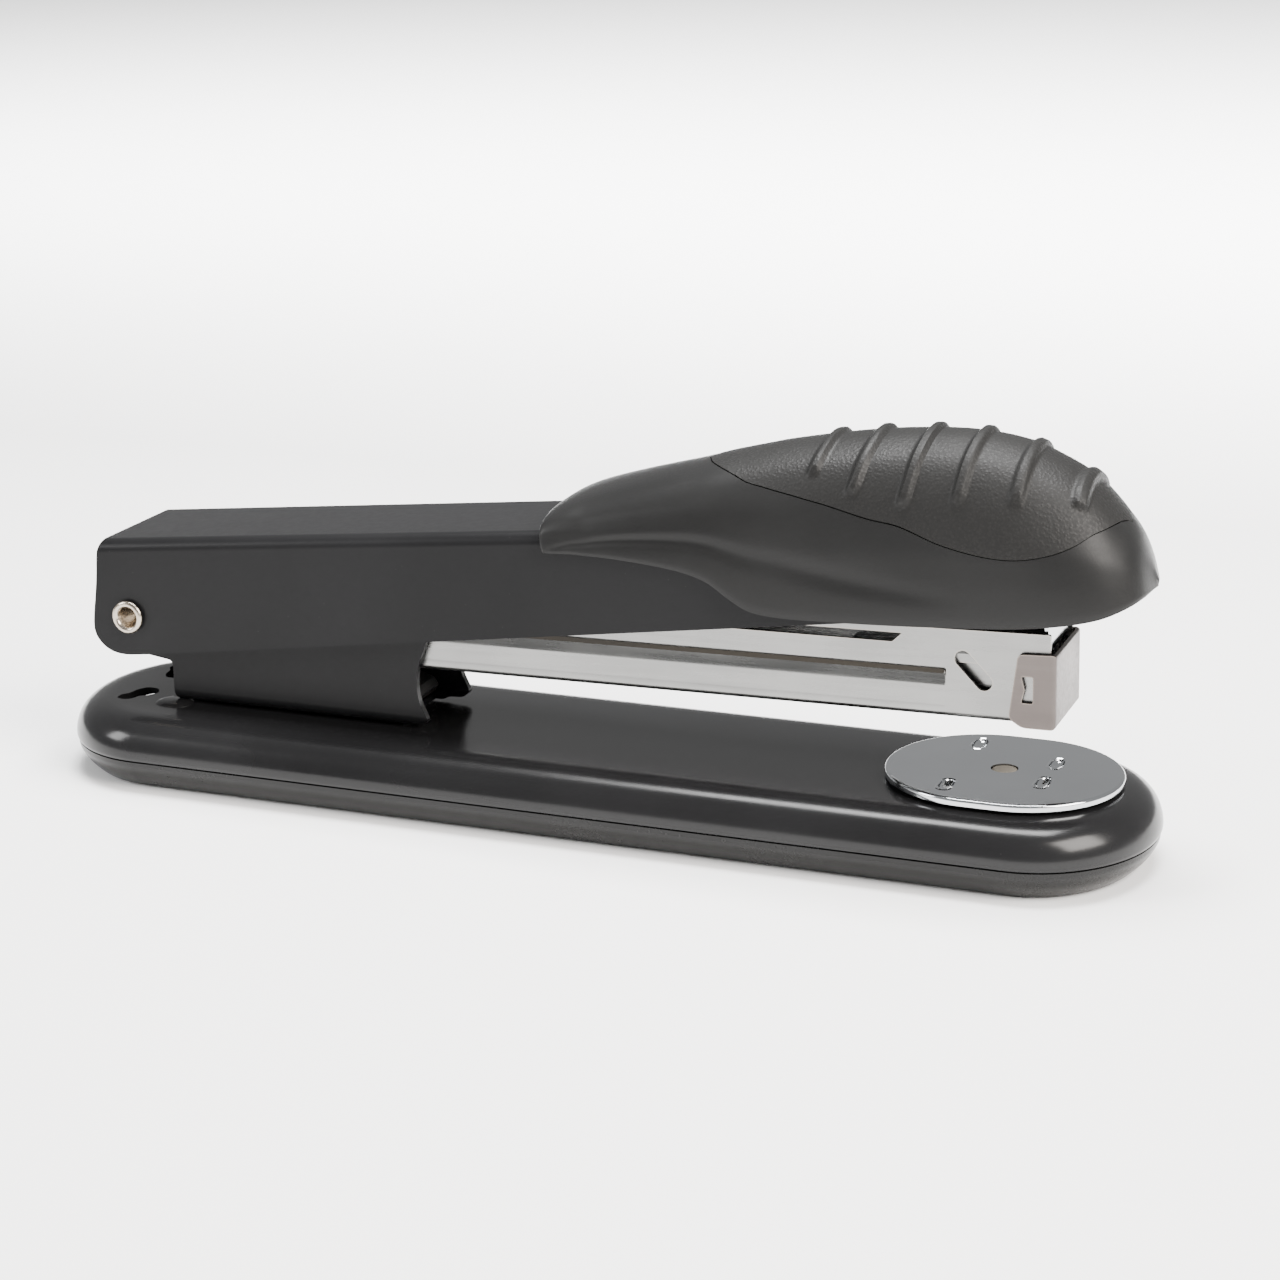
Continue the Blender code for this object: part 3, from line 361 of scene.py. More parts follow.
def plated(name, base, rough, streak, warm=(0.42, 0.36, 0.30)):
    """Plated sheet: rolling streaks, soft clouding, tiny pits and warmer rubbed edges."""
    surface = Surface(name, Metallic=1.0)
    lines = surface.noise(90.0, 5.0, 0.6, surface.stretched((0.6, 14.0, 14.0)))
    cloud = surface.noise(70.0, 3.0)
    pits = surface.spread(surface.cells(300.0), 1.0, 0.0, 0.0, 0.06)
    tone = surface.blend(surface.spread(cloud, 0.0, 0.5), base, scaled(base, 0.88))
    tone = surface.blend(surface.math("MULTIPLY", pits, 0.5), tone, (0.20, 0.17, 0.15))
    surface.set("Base Color", surface.blend(surface.math("MULTIPLY", surface.edges(), 0.45), tone, warm))
    mixed = surface.math("ADD", lines, cloud)
    surface.set("Roughness", surface.spread(mixed, rough - 0.04, rough + streak, 0.75, 1.25))
    height = surface.math("ADD", lines, surface.math("MULTIPLY", pits, -1.5))
    surface.set("Normal", surface.bump(height, 0.00001, 0.35))
    return surface.material


looks = {
    "black_paint": painted_steel("stapler_paint", (0.006, 0.006, 0.0064), 0.32, 0.10),
    "black_plastic": painted_steel("stapler_cover_plastic", (0.006, 0.006, 0.006), 0.24, 0.22),
    "grip_plastic": moulded("stapler_grip_plastic", (0.009, 0.009, 0.009), 0.38, 2600.0, 0.000015, 0.15),
    "grip_rubber": leather_grain("stapler_grip_pad", (0.009, 0.0088, 0.0085), 0.50),
    "bright_nickel": plated("stapler_nickel", (0.215, 0.215, 0.21), 0.24, 0.10),
    "satin_nickel": plated("stapler_satin_nickel", (0.115, 0.10, 0.094), 0.34, 0.10),
    "chrome_plate": plated("stapler_chrome", (0.50, 0.515, 0.53), 0.10, 0.05, (0.55, 0.56, 0.58)),
    "spring_steel": plated("stapler_spring_steel", (0.26, 0.25, 0.24), 0.28, 0.12),
    "rivet_steel": plated("stapler_rivet", (0.42, 0.37, 0.31), 0.22, 0.10),
    "cream_plastic": moulded("stapler_cream_nylon", (0.17, 0.155, 0.13), 0.5, 1200.0, 0.00002, 0.12),
    "foot_rubber": moulded("stapler_foot_rubber", (0.02, 0.02, 0.02), 0.8, 900.0, 0.00005),
}
base_gloss = painted_steel("stapler_base_gloss", (0.006, 0.006, 0.0063), 0.18, 0.26)
# Painted shade: a near-black material standing in for the shade on parts deep inside the stapler
inner_shade = moulded("stapler_inner_shadow", (0.012, 0.011, 0.010), 0.6, 900.0, 0.00002)

# Painted shade: a dark brownish material for the bands in the bead grooves
groove_shadow = moulded("stapler_groove_shadow", (0.022, 0.018, 0.013), 0.55, 900.0, 0.000004, 0.2)

node_slot = {entry["node"]: entry["material_slot"] for entry in frame["record"]["subparts"]}
# The lift spring gets the painted-shade material in place of its own steel finish, as it sits in shade
# inside the stapler
for node, item in frame["nodes"].items():
    item.data.materials.clear()
    item.data.materials.append(inner_shade if node == "lift_spring" else looks[node_slot[node]])



def on_hinge(pitch):
    """Frame on the hinge line, with its nose end tilted up."""
    return Matrix.Translation((PIVOT_X * MM, 0.0, PIVOT_Z * MM)) @ Matrix.Rotation(-pitch, 4, "Y")


PLACES = {
    "base": Matrix.Identity(4),
    "anvil": Matrix.Translation((ANVIL_X * MM, 0.0, 0.0)),
    "magazine": on_hinge(MAGAZINE_PITCH),
    "handle": on_hinge(HANDLE_PITCH),
}


def prism(outline, low, high, plane="XZ"):
    """Extrude a flat outline: an XZ outline along Y, an XY one along Z, a YZ one along X."""
    place = {
        "XZ": lambda a, b, c: (a, c, b),
        "XY": lambda a, b, c: (a, b, c),
        "YZ": lambda a, b, c: (c, a, b),
    }[plane]
    mesh = bmesh.new()
    near = [mesh.verts.new(place(a, b, low)) for a, b in outline]
    far = [mesh.verts.new(place(a, b, high)) for a, b in outline]
    count = len(outline)
    mesh.faces.new(near)
    mesh.faces.new(far[::-1])
    for index in range(count):
        following = (index + 1) % count
        mesh.faces.new((near[index], near[following], far[following], far[index]))
    return mesh


def box(low, high):
    outline = ((low[0], low[1]), (high[0], low[1]), (high[0], high[1]), (low[0], high[1]))
    return prism(outline, low[2], high[2], "XY")


def ring(radius, steps=ROUND_STEPS, centre=(0.0, 0.0)):
    angles = [2 * math.pi * index / steps for index in range(steps)]
    return [(centre[0] + radius * math.cos(a), centre[1] + radius * math.sin(a)) for a in angles]


def loft(rings, closed=False):
    """Skin successive rings of points; cap the ends, or join the last ring to the first."""
    mesh = bmesh.new()
    loops = [[mesh.verts.new(point) for point in points] for points in rings]
    count = len(loops[0])
    pairs = list(zip(loops, loops[1:]))
    if closed:
        pairs.append((loops[-1], loops[0]))
    for first, second in pairs:
        for index in range(count):
            following = (index + 1) % count
            mesh.faces.new((first[index], first[following], second[following], second[index]))
    if not closed:
        mesh.faces.new(loops[0][::-1])
        mesh.faces.new(loops[-1])
    return mesh


def turned(profile, axis="Z", centre=(0.0, 0.0, 0.0), steps=ROUND_STEPS, closed=False):
    """Turn a profile of (radius, height) about an axis through a centre."""
    rings = []
    for radius, height in profile:
        if axis == "Z":
            points = [(centre[0] + a, centre[1] + b, centre[2] + height) for a, b in ring(radius, steps)]
        else:
            points = [(centre[0] + a, centre[1] + height, centre[2] + b) for a, b in ring(radius, steps)]
        rings.append(points)
    return loft(rings, closed)


def stadium(half_length, half_width, end_radius, inset=0.0, steps=16, centre_x=0.0):
    """Rounded slot outline whose ends are half-ellipses; an inset moves it inwards evenly."""
    straight = half_length - end_radius
    reach = end_radius - inset
    width = half_width - inset
    points = []
    for side, start in ((1, -0.5), (-1, 0.5)):
        for index in range(steps + 1):
            angle = math.pi * (start + index / steps)
            points.append((centre_x + side * straight + reach * math.cos(angle), width * math.sin(angle)))
    return points


def interpolate(rows, position):
    """Smooth cubic through rows whose first entry is the position."""
    last = len(rows) - 1
    index = 0
    while index < last - 1 and position > rows[index + 1][0]:
        index += 1
    span = rows[index + 1][0] - rows[index][0]
    part = (position - rows[index][0]) / span
    result = []
    for column in range(1, len(rows[0])):
        start = rows[index][column]
        end = rows[index + 1][column]
        before = rows[max(index - 1, 0)]
        after = rows[min(index + 2, last)]
        slope_in = (end - before[column]) / (rows[index + 1][0] - before[0])
        slope_out = (after[column] - start) / (after[0] - rows[index][0])
        square = part * part
        cube = square * part
        value = (2 * cube - 3 * square + 1) * start + (cube - 2 * square + part) * slope_in * span
        value += (3 * square - 2 * cube) * end + (cube - square) * slope_out * span
        result.append(value)
    return result


def section_fraction(station, height):
    """Half-width and height fractions at a station, for a height parameter from rim (0) to crown (1)."""
    values = []
    for profile in (REAR_PROFILE, BODY_PROFILE, NOSE_PROFILE):
        mirrored = (*profile, (-profile[-2][0], profile[-2][1]))
        rows = [(index / (len(profile) - 1), *pair) for index, pair in enumerate(mirrored)]
        values.append(interpolate(rows, height))
    rear_share = max(0.0, 1.0 - station / 0.10)
    nose_share = min(max((station - 0.45) / 0.35, 0.0), 1.0)
    body_share = 1.0 - rear_share - nose_share
    shares = (rear_share, body_share, nose_share)
    return [sum(share * value[axis] for share, value in zip(shares, values)) for axis in range(2)]


def grip_point(station, across):
    """Point of the grip's outer surface; across runs from -1 at one rim to 1 at the other."""
    rim_u, rim_y, rim_w, crown_u, crown_w = interpolate(GRIP_STATIONS, station)
    wide, high = section_fraction(station, 1.0 - abs(across))
    side = 1.0 if across >= 0 else -1.0
    return Vector((
        rim_u + (crown_u - rim_u) * high,
        side * max(rim_y, 0.0) * max(wide, 0.0),
        rim_w + (crown_w - rim_w) * high,
    ))


def grip_normal(station, across):
    step = 0.004
    low = min(max(station - step, 0.0), 1.0 - 2 * step)
    along = grip_point(low + 2 * step, across) - grip_point(low, across)
    left = max(across - step, -1.0)
    right = min(across + step, 1.0)
    sideways = grip_point(min(station, 0.985), right) - grip_point(min(station, 0.985), left)
    return along.cross(sideways).normalized()


def thicken(grid, top_offset, bottom_offset, ends):
    """Closed body between two offsets of a surface patch given as rows of (point, normal).

    Ends are "poles" when the first and last rows are single points, or "zip" when the last row folds
    onto itself so that its two halves meet.
    """
    mesh = bmesh.new()
    final = len(grid) - 1
    width = len(grid[0])
    layers = []
    for offset in (top_offset, bottom_offset):
        rows = []
        for row_index, row in enumerate(grid):
            count = width
            if ends == "poles" and row_index in (0, final):
                count = 1
            if ends == "zip" and row_index == final:
                count = width // 2 + 1
            verts = []
            for col, (point, normal) in enumerate(row[:count]):
                verts.append(mesh.verts.new(point + normal * offset(row_index, col)))
            if count == 1:
                verts = verts * width
            elif count < width:
                verts += verts[-2::-1]
            rows.append(verts)
        layers.append(rows)
    for layer, rows in enumerate(layers):
        for first, second in zip(rows, rows[1:]):
            for col in range(width - 1):
                corners = []
                for vert in (first[col], first[col + 1], second[col + 1], second[col]):
                    if vert not in corners:
                        corners.append(vert)
                mesh.faces.new(corners if layer == 0 else corners[::-1])
    upper, lower = layers
    edge = [(row, 0) for row in range(final + 1)]
    edge += [(row, width - 1) for row in range(final, -1, -1)]
    edge += [(0, col) for col in range(width - 2, 0, -1)]
    border = []
    for row, col in edge:
        pair = (upper[row][col], lower[row][col])
        if pair not in border[-1:] + border[:1]:
            border.append(pair)
    for index, (top, bottom) in enumerate(border):
        following = border[(index + 1) % len(border)]
        mesh.faces.new((top, bottom, following[1], following[0]))
    return mesh


def pad_grid(margin, stations):
    """Grid over the pad's outline, widened by a margin in millimetres."""
    first = PAD_EDGE[0][0] - margin * 0.02
    last = PAD_EDGE[-1][0] + margin * 0.01
    grid = []
    for station in stations:
        station = first + (last - first) * station
        inner = PAD_EDGE[0][0] + (PAD_EDGE[-1][0] - PAD_EDGE[0][0]) * (station - first) / (last - first)
        reach = max(interpolate(PAD_EDGE, inner)[0], 0.0)
        if 0.0 < station - first and 0.0 < last - station:
            reach += margin * 0.045
        part = (station - first) / (last - first)
        row = []
        for col in range(PAD_STEPS_ACROSS + 1):
            across = reach * (2 * col / PAD_STEPS_ACROSS - 1)
            swept = station - RIB_SWEEP * across * across * 4 * part * (1 - part)
            point = grip_point(swept, across)
            row.append((point, grip_normal(swept, across), grip_point(station, 0.0).x, across))
        grid.append(row)
    return grid


def rounded(outline, radius, steps=6):
    """Round every corner of a closed outline."""
    points = []
    count = len(outline)
    for index in range(count):
        corner = Vector(outline[index])
        before = Vector(outline[index - 1]) - corner
        after = Vector(outline[(index + 1) % count]) - corner
        reach = min(radius, 0.48 * before.length, 0.48 * after.length)
        start = corner + before.normalized() * reach
        end = corner + after.normalized() * reach
        for step in range(steps + 1):
            part = step / steps
            point = start * (1 - part) ** 2 + corner * 2 * part * (1 - part) + end * part ** 2
            points.append(tuple(point))
    return points


def bent_section(outer, sheet, bend, roof, foot):
    """U section in the YZ plane: a roof or floor with two rounded bends and straight legs to the foot."""
    sign = 1.0 if roof > foot else -1.0
    arc = [0.5 * math.pi * step / 14 for step in range(15)]
    outside = [(outer, foot)]
    outside += [(outer - bend + bend * math.cos(a), roof - sign * (bend - bend * math.sin(a))) for a in arc]
    inside = [(outer - sheet, foot)]
    small = bend - sheet
    inside += [(outer - bend + small * math.cos(a), roof - sign * (bend - small * math.sin(a))) for a in arc]
    left = [(-a, b) for a, b in reversed(outside)]
    return outside + left + [(-a, b) for a, b in inside] + inside[::-1]


def finish_mesh(mesh):
    for vert in mesh.verts:
        vert.co *= MM
    bmesh.ops.recalc_face_normals(mesh, faces=mesh.faces)
    data = bpy.data.meshes.new("shape")
    mesh.to_mesh(data)
    mesh.free()
    return data


def carved(mesh, cuts):
    """The body after its cuts, each given as an operation and a bmesh."""
    body = bpy.data.objects.new("body", finish_mesh(mesh))
    bpy.context.scene.collection.objects.link(body)
    tools = []
    for operation, shape in cuts:
        tool = bpy.data.objects.new("cut", finish_mesh(shape))
        bpy.context.scene.collection.objects.link(tool)
        modifier = body.modifiers.new("cut", "BOOLEAN")
        modifier.operation = operation
        modifier.solver = "EXACT"
        modifier.object = tool
        tools.append(tool)
    bpy.context.view_layer.update()
    result = bpy.data.meshes.new_from_object(body.evaluated_get(bpy.context.evaluated_depsgraph_get()))
    for item in [body, *tools]:
        bpy.data.objects.remove(item, do_unlink=True)
    return result


def drilled(radius, low, high, centre=(0.0, 0.0, 0.0), axis="Z"):
    """A round hole, as a cut."""
    return ("DIFFERENCE", turned(((radius, low), (radius, high)), axis, centre))


def add_piece(name, data, body, slot, nodes=(), material=None, flats=True):
    """Put a finished mesh on its body, in place of the CAD nodes it stands for."""
    data.name = name
    data.materials.clear()
    data.materials.append(material or looks[slot])
    data.polygons.foreach_set("material_index", [0] * len(data.polygons))
    data.polygons.foreach_set("use_smooth", [True] * len(data.polygons))
    data.set_sharp_from_angle(angle=SMOOTH_LIMIT)
    item = bpy.data.objects.new(name, data)
    bpy.context.scene.collection.objects.link(item)
    item.matrix_world = PLACES[body]
    if flats:
        weighted = item.modifiers.new("flats", "WEIGHTED_NORMAL")
        weighted.keep_sharp = True
        weighted.weight = 100
    if nodes:
        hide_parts(*nodes)
    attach(item, body)


def curve_rows(rows, steps):
    """Evenly spaced points along a smooth curve through rows of values."""
    table = [(index, *row) for index, row in enumerate(rows)]
    last = len(rows) - 1
    return [tuple(interpolate(table, last * step / steps)) for step in range(steps + 1)]


def outline_rings(rows, half_length, half_width, end_radius):
    rings = []
    for inset, height in rows:
        outline = stadium(half_length, half_width, end_radius, inset, END_STEPS)
        rings.append([(x, y, height) for x, y in outline])
    return rings


# Base shell
SHELL_CURVE_STEPS = 28
KEYHOLE_ROUNDING = 0.7
shell_out = curve_rows(
    (
        (0.15, SHELL_BOTTOM), (0.0, 5.9), (0.15, 7.2), (0.75, 8.8), (1.8, 10.1), (3.3, 11.05), (5.0, 11.5),
        (6.6, BASE_TOP),
    ),
    SHELL_CURVE_STEPS,
)
shell_in = ((6.6, BASE_TOP - SHELL_WALL), (3.7, 10.1), (1.7, 8.4), (1.15, 7.1), (SHELL_WALL, SHELL_BOTTOM))
shell_loops = outline_rings((*shell_out, *shell_in), BASE_HALF_LENGTH, BASE_HALF_WIDTH, BASE_END_RADIUS)
shell = bmesh.new()
loops = [[shell.verts.new(point) for point in points] for points in shell_loops]
for index, first in enumerate(loops):
    second = loops[(index + 1) % len(loops)]
    if index != len(shell_out) - 1:
        for side in range(len(first)):
            following = (side + 1) % len(first)
            shell.faces.new((first[side], first[following], second[following], second[side]))
shell.faces.new(loops[len(shell_out) - 1])
shell.faces.new(loops[len(shell_out)][::-1])
keyhole = rounded(KEYHOLE, KEYHOLE_ROUNDING, 4)
cuts = [("DIFFERENCE", prism(keyhole, 9.0, 13.0, "XY"))]
cuts.append(("DIFFERENCE", prism([(x, -y) for x, y in keyhole], 9.0, 13.0, "XY")))
cuts.append(drilled(STUD_HOLE, 9.0, 13.0, (ANVIL_X, 0, 0)))
add_piece("base_shell_skin", carved(shell, cuts), "base", "black_paint", ["base_shell"], base_gloss)

# Pressed lances beside the bracket's rear edge
LANCE_X = -69.8
LANCE_Y = 8.6
LANCE_HALF_LENGTH = 3.3
LANCE_HALF_WIDTH = 2.6
LANCE_ROWS = (
    (0.0, BASE_TOP - 0.3), (0.1, BASE_TOP + 0.05), (0.6, BASE_TOP + 0.35), (1.3, BASE_TOP + 0.5),
)
for side, label in ((-1, "near"), (1, "far")):
    rows = []
    for inset, height in LANCE_ROWS:
        outline = stadium(LANCE_HALF_LENGTH, LANCE_HALF_WIDTH, LANCE_HALF_WIDTH, inset, 16, LANCE_X)
        rows.append([(x, side * LANCE_Y + y, height) for x, y in outline])
    add_piece(f"base_lance_{label}", finish_mesh(loft(rows)), "base", "black_paint", (), base_gloss, False)

# Base cover
cover_rows = curve_rows(
    ((COVER_TAPER + 0.3, 0.0), (COVER_TAPER - 0.7, 0.5), (1.5, 2.2), (0.45, 3.9), (0.25, COVER_TOP)), 20
)
rows = [(7.4, FOOT_RECESS), (6.6, 0.0), *cover_rows]
rows += [(2.0, COVER_TOP), (3.2, 2.9), (5.2, FOOT_RECESS + COVER_WALL)]
cover = loft(outline_rings(rows, BASE_HALF_LENGTH, BASE_HALF_WIDTH, BASE_END_RADIUS))
add_piece("base_cover_skin", finish_mesh(cover), "base", "black_plastic", ["base_cover"])

# Bracket
BRACKET_BEND = 2.0
BRACKET_ROUNDING = 0.9
section = bent_section(BRACKET_OUT, BRACKET_OUT - BRACKET_IN, BRACKET_BEND, BRACKET_FLOOR, 34.0)
side = rounded(BRACKET_SIDE, BRACKET_ROUNDING)
cuts = [
    ("INTERSECT", prism(side, -10.0, 10.0)),
    ("DIFFERENCE", box((-30.0, -6.4, 11.0), (-20.0, 6.4, 14.5))),
    drilled(RIVET_HOLE, -12.0, 12.0, (PIVOT_X, 0, PIVOT_Z), "Y"),
]
for rivet_x in BRACKET_RIVETS:
    cuts.append(drilled(BRACKET_RIVET_HOLE, 11.0, 14.0, (rivet_x, 0, 0)))
skin = carved(prism(section, -84.0, -20.0, "YZ"), cuts)
add_piece("bracket_skin", skin, "base", "black_paint", ["bracket"])

# Pivot rivet with rolled rims
half = (
    (RIVET_SHANK, RIVET_SEAT), (RIVET_HEAD - 0.25, RIVET_SEAT), (RIVET_HEAD - 0.03, RIVET_SEAT + 0.15),
    (RIVET_HEAD, RIVET_SEAT + 0.35), (RIVET_HEAD - 0.12, RIVET_REACH - 0.18),
    (RIVET_HEAD - 0.38, RIVET_REACH - 0.03), (2.1, RIVET_REACH), (1.85, RIVET_REACH - 0.12),
    (RIVET_HOLLOW, RIVET_REACH - 0.4),
    (RIVET_HOLLOW - 0.15, RIVET_REACH - 1.2), (0.9, RIVET_REACH - 2.6), (0.35, RIVET_REACH - 3.2),
)
profile = [*half, *[(radius, -reach) for radius, reach in reversed(half)]]
rivet = turned(profile, "Y", (PIVOT_X, 0, PIVOT_Z), closed=True)
add_piece("pivot_rivet_skin", finish_mesh(rivet), "base", "rivet_steel", ["pivot_rivet"], None, False)

# Anvil plate with pressed forming pockets; its rim rows are (inset, drop below the top)
rows = ((0.7, 1.4), (0.2, 1.3), (0.0, 1.05), (0.0, 0.45), (0.1, 0.22), (0.3, 0.07), (0.55, 0.0))
rows = [(inset, ANVIL_TOP - drop) for inset, drop in rows]
outline = outline_rings(rows, ANVIL_HALF_LENGTH, ANVIL_HALF_WIDTH, ANVIL_END_RADIUS)
cuts = [drilled(ANVIL_HOLE, 11.0, 14.0)]
for pocket_x, pocket_y in FORMING_POCKETS:
    ball = bmesh.new()
    bmesh.ops.create_uvsphere(ball, u_segments=32, v_segments=20, radius=1.0)
    scale = (POCKET_HALF_WIDTH, POCKET_HALF_LENGTH, POCKET_SCOOP)
    centre = Vector((pocket_x, pocket_y, ANVIL_TOP + 0.08))
    for vert in ball.verts:
        vert.co = Vector([a * b for a, b in zip(vert.co, scale)]) + centre
    cuts.append(("DIFFERENCE", ball))
add_piece("anvil_plate_skin", carved(loft(outline), cuts), "anvil", "chrome_plate", ["anvil_plate"])
for index, (pocket_x, pocket_y) in enumerate(FORMING_POCKETS):
    outline = stadium(POCKET_HALF_LENGTH + 0.25, POCKET_HALF_WIDTH + 0.25, POCKET_HALF_WIDTH + 0.25, 0.0, 14)
    inner = stadium(POCKET_HALF_LENGTH - 0.1, POCKET_HALF_WIDTH - 0.08, POCKET_HALF_WIDTH - 0.08, 0.0, 14)
    rings = []
    for path, height in ((outline, -0.03), (outline, 0.0), (None, 0.09), (inner, 0.0), (inner, -0.05)):
        if path is None:
            path = [((a + c) / 2, (b + d) / 2) for (a, b), (c, d) in zip(outline, inner)]
        rings.append([(pocket_x + b, pocket_y + a, ANVIL_TOP + height) for a, b in path])
    lip = finish_mesh(loft(rings, True))
    add_piece(f"anvil_pocket_lip_{index}", lip, "anvil", "chrome_plate", (), None, False)

def magazine_section(bead):
    """Section of the channel; bead runs from 0 (plain wall) to 1 (full groove).

    The wall is given as (depth of the outer face, depth of the inner face, height).
    """
    bottom = MAGAZINE_BOTTOM
    wall = [
        (0.0, 0.0, 10.0), (0.0, 0.0, BEAD_HIGH + 0.4), (0.03, 0.0, BEAD_HIGH + 0.1),
        (0.22, 0.02, BEAD_HIGH - 0.05), (0.42, 0.1, BEAD_HIGH - 0.25), (0.48, 0.18, BEAD_HIGH - 0.6),
        (0.44, 0.2, BEAD_HIGH - 0.9), (0.30, 0.12, BEAD_HIGH - 1.4), (0.14, 0.04, BEAD_LOW + 0.35),
        (0.02, 0.0, BEAD_LOW), (0.0, 0.0, BEAD_LOW - 0.3), (0.0, 0.0, bottom + 2.05),
        (0.09, 0.0, bottom + 1.9), (0.0, 0.0, bottom + 1.75), (0.0, 0.0, bottom + 1.0),
    ]
    bend = [0.5 * math.pi * step / 8 for step in range(1, 9)]
    outside = [(MAGAZINE_OUT - depth * bead, height) for depth, _, height in wall]
    outside += [(MAGAZINE_OUT - 1.0 + math.cos(a), bottom + 1.0 - math.sin(a)) for a in bend]
    inside = [(MAGAZINE_IN - depth * bead, height) for _, depth, height in wall]
    small = 1.0 - MAGAZINE_SHEET
    inside += [(MAGAZINE_OUT - 1.0 + small * math.cos(a), bottom + 1.0 - small * math.sin(a)) for a in bend]
    left = [(-a, b) for a, b in reversed(outside)]
    return outside + left + [(-a, b) for a, b in inside] + inside[::-1]


# Magazine channel, with its rolled bead and a fine line above the bottom bend; the floor opens wider
# at the front, where the driver blade passes
BLADE_BACK = 149.1
BLADE_GAP = MAGAZINE_IN - 0.02
BEAD_COURSE = (
    (-6.0, 0), (BEAD_START - 0.7, 0), (BEAD_START, 1), (BEAD_END - 0.3, 1), (BEAD_END, 0), (153.0, 0),
)
rings = []
for position, bead in BEAD_COURSE:
    rings.append([(position, a, b) for a, b in magazine_section(bead)])
run = Vector(SLOT_ENDS[1]) - Vector(SLOT_ENDS[0])
heading = math.atan2(run.y, run.x)
slot = []
for end, start in ((SLOT_ENDS[1], -0.5), (SLOT_ENDS[0], 0.5)):
    for index in range(15):
        angle = heading + math.pi * (start + index / 14)
        slot.append((end[0] + SLOT_RADIUS * math.cos(angle), end[1] + SLOT_RADIUS * math.sin(angle)))
cuts = [
    ("INTERSECT", prism(rounded(MAGAZINE_SIDE, 0.35), -9.0, 9.0)),
    ("DIFFERENCE", box((-7.5, -6.0, -7.6), (FLOOR_START, 6.0, -3.8))),
    ("DIFFERENCE", box((FLOOR_END, -6.0, -7.6), (154.0, 6.0, -3.8))),
    ("DIFFERENCE", box((BLADE_BACK - 1.0, -BLADE_GAP, -7.6), (154.0, BLADE_GAP, -3.8))),
    drilled(RIVET_HOLE, -9.0, 9.0, axis="Y"),
    ("DIFFERENCE", prism(slot, -9.0, 9.0)),
    ("DIFFERENCE", prism(rounded(UPPER_SLOT, 0.2), -9.0, 9.0)),
]
skin = carved(loft(rings), cuts)
add_piece("magazine_channel_skin", skin, "magazine", "bright_nickel", ["magazine_channel"])

# Painted shade: a dark band along the upper side of each bead's groove, where the slope facing down lies in
# shade
GROOVE_SHADE_LOW = BEAD_HIGH - 0.85
GROOVE_SHADE_HIGH = BEAD_HIGH - 0.12
GROOVE_SHADE_IN = 6.54
GROOVE_SHADE_OUT = 6.74
shade_band = [(BEAD_START + 0.3, GROOVE_SHADE_LOW), (BEAD_END - 0.4, GROOVE_SHADE_LOW)]
shade_band += [(BEAD_END - 0.4, GROOVE_SHADE_HIGH), (BEAD_START + 0.3, GROOVE_SHADE_HIGH)]
shade_band = rounded(shade_band, 0.3)
for label, low, high in (("near", -GROOVE_SHADE_OUT, -GROOVE_SHADE_IN), ("far", GROOVE_SHADE_IN, GROOVE_SHADE_OUT)):
    band = finish_mesh(prism(shade_band, low, high))
    add_piece(f"bead_shade_band_{label}", band, "magazine", "bright_nickel", (), groove_shadow)

# Nose plate
NOSE_ROUNDING = 0.9
front = NOSE_FRONT
inner = front - NOSE_SHEET
inner_out = NOSE_OUT - NOSE_SHEET
plan = [
    (NOSE_BACK, -NOSE_OUT), (front, -NOSE_OUT), (front, NOSE_OUT), (NOSE_BACK, NOSE_OUT),
    (NOSE_BACK, inner_out), (inner, inner_out), (inner, -inner_out), (NOSE_BACK, -inner_out),
]
plan = rounded(plan, NOSE_ROUNDING, 8)
cuts = [
    ("INTERSECT", prism(rounded(NOSE_SIDE, 0.8), -9.0, 9.0)),
    ("DIFFERENCE", prism(rounded(NOSE_WINDOW, 0.25), -9.0, 9.0)),
]
skin = carved(prism(plan, -8.0, 8.0, "XY"), cuts)
add_piece("nose_plate_skin", skin, "magazine", "satin_nickel", ["nose_plate"])

# Handle channel
HANDLE_ROUNDING = 1.3
section = bent_section(HANDLE_OUT, HANDLE_SHEET, HANDLE_BEND, HANDLE_TOP, -8.0)
cuts = [
    ("INTERSECT", prism(rounded(HANDLE_SIDE, HANDLE_ROUNDING), -12.5, 12.5)),
    drilled(RIVET_HOLE, -13.0, 13.0, axis="Y"),
    ("DIFFERENCE", box((FLANGE_END, TONGUE_HALF_WIDTH, 9.0), (156.0, 12.0, 14.0))),
    ("DIFFERENCE", box((FLANGE_END, -12.0, 9.0), (156.0, -TONGUE_HALF_WIDTH, 14.0))),
]
for rivet_u in (SPRING_RIVET_U, DRIVER_RIVET_U):
    cuts.append(drilled(HANDLE_RIVET_HOLE, 9.0, 14.0, (rivet_u, 0, 0)))
skin = carved(prism(section, -8.0, 156.0, "YZ"), cuts)
add_piece("handle_channel_skin", skin, "handle", "black_paint", ["handle_channel"])

# Grip cap and its ribbed pad; the crease is given as (station, height, depth)
CREASE = (
    (0.02, 0.05, 0.0), (0.06, 0.15, 0.15), (0.12, 0.26, 0.28), (0.20, 0.31, 0.34), (0.325, 0.34, 0.34),
    (0.41, 0.34, 0.34), (0.49, 0.28, 0.32), (0.555, 0.23, 0.26), (0.62, 0.19, 0.14), (0.68, 0.16, 0.0),
)
CREASE_WIDTH = 0.045
RIM_ROLL = 0.22
REAR_ROLL = 0.2
RIB_CREST = 0.3
RIB_END_FADE = 0.03
grid = []
for row in range(GRIP_STEPS_ALONG + 1):
    station = row / GRIP_STEPS_ALONG
    columns = []
    for col in range(2 * GRIP_STEPS_ACROSS + 1):
        across = col / GRIP_STEPS_ACROSS - 1.0
        normal = grip_normal(station, across)
        if row == GRIP_STEPS_ALONG:
            normal = Vector((normal.x, 0.0, normal.z)).normalized()
        columns.append((grip_point(station, across), normal))
    grid.append(columns)


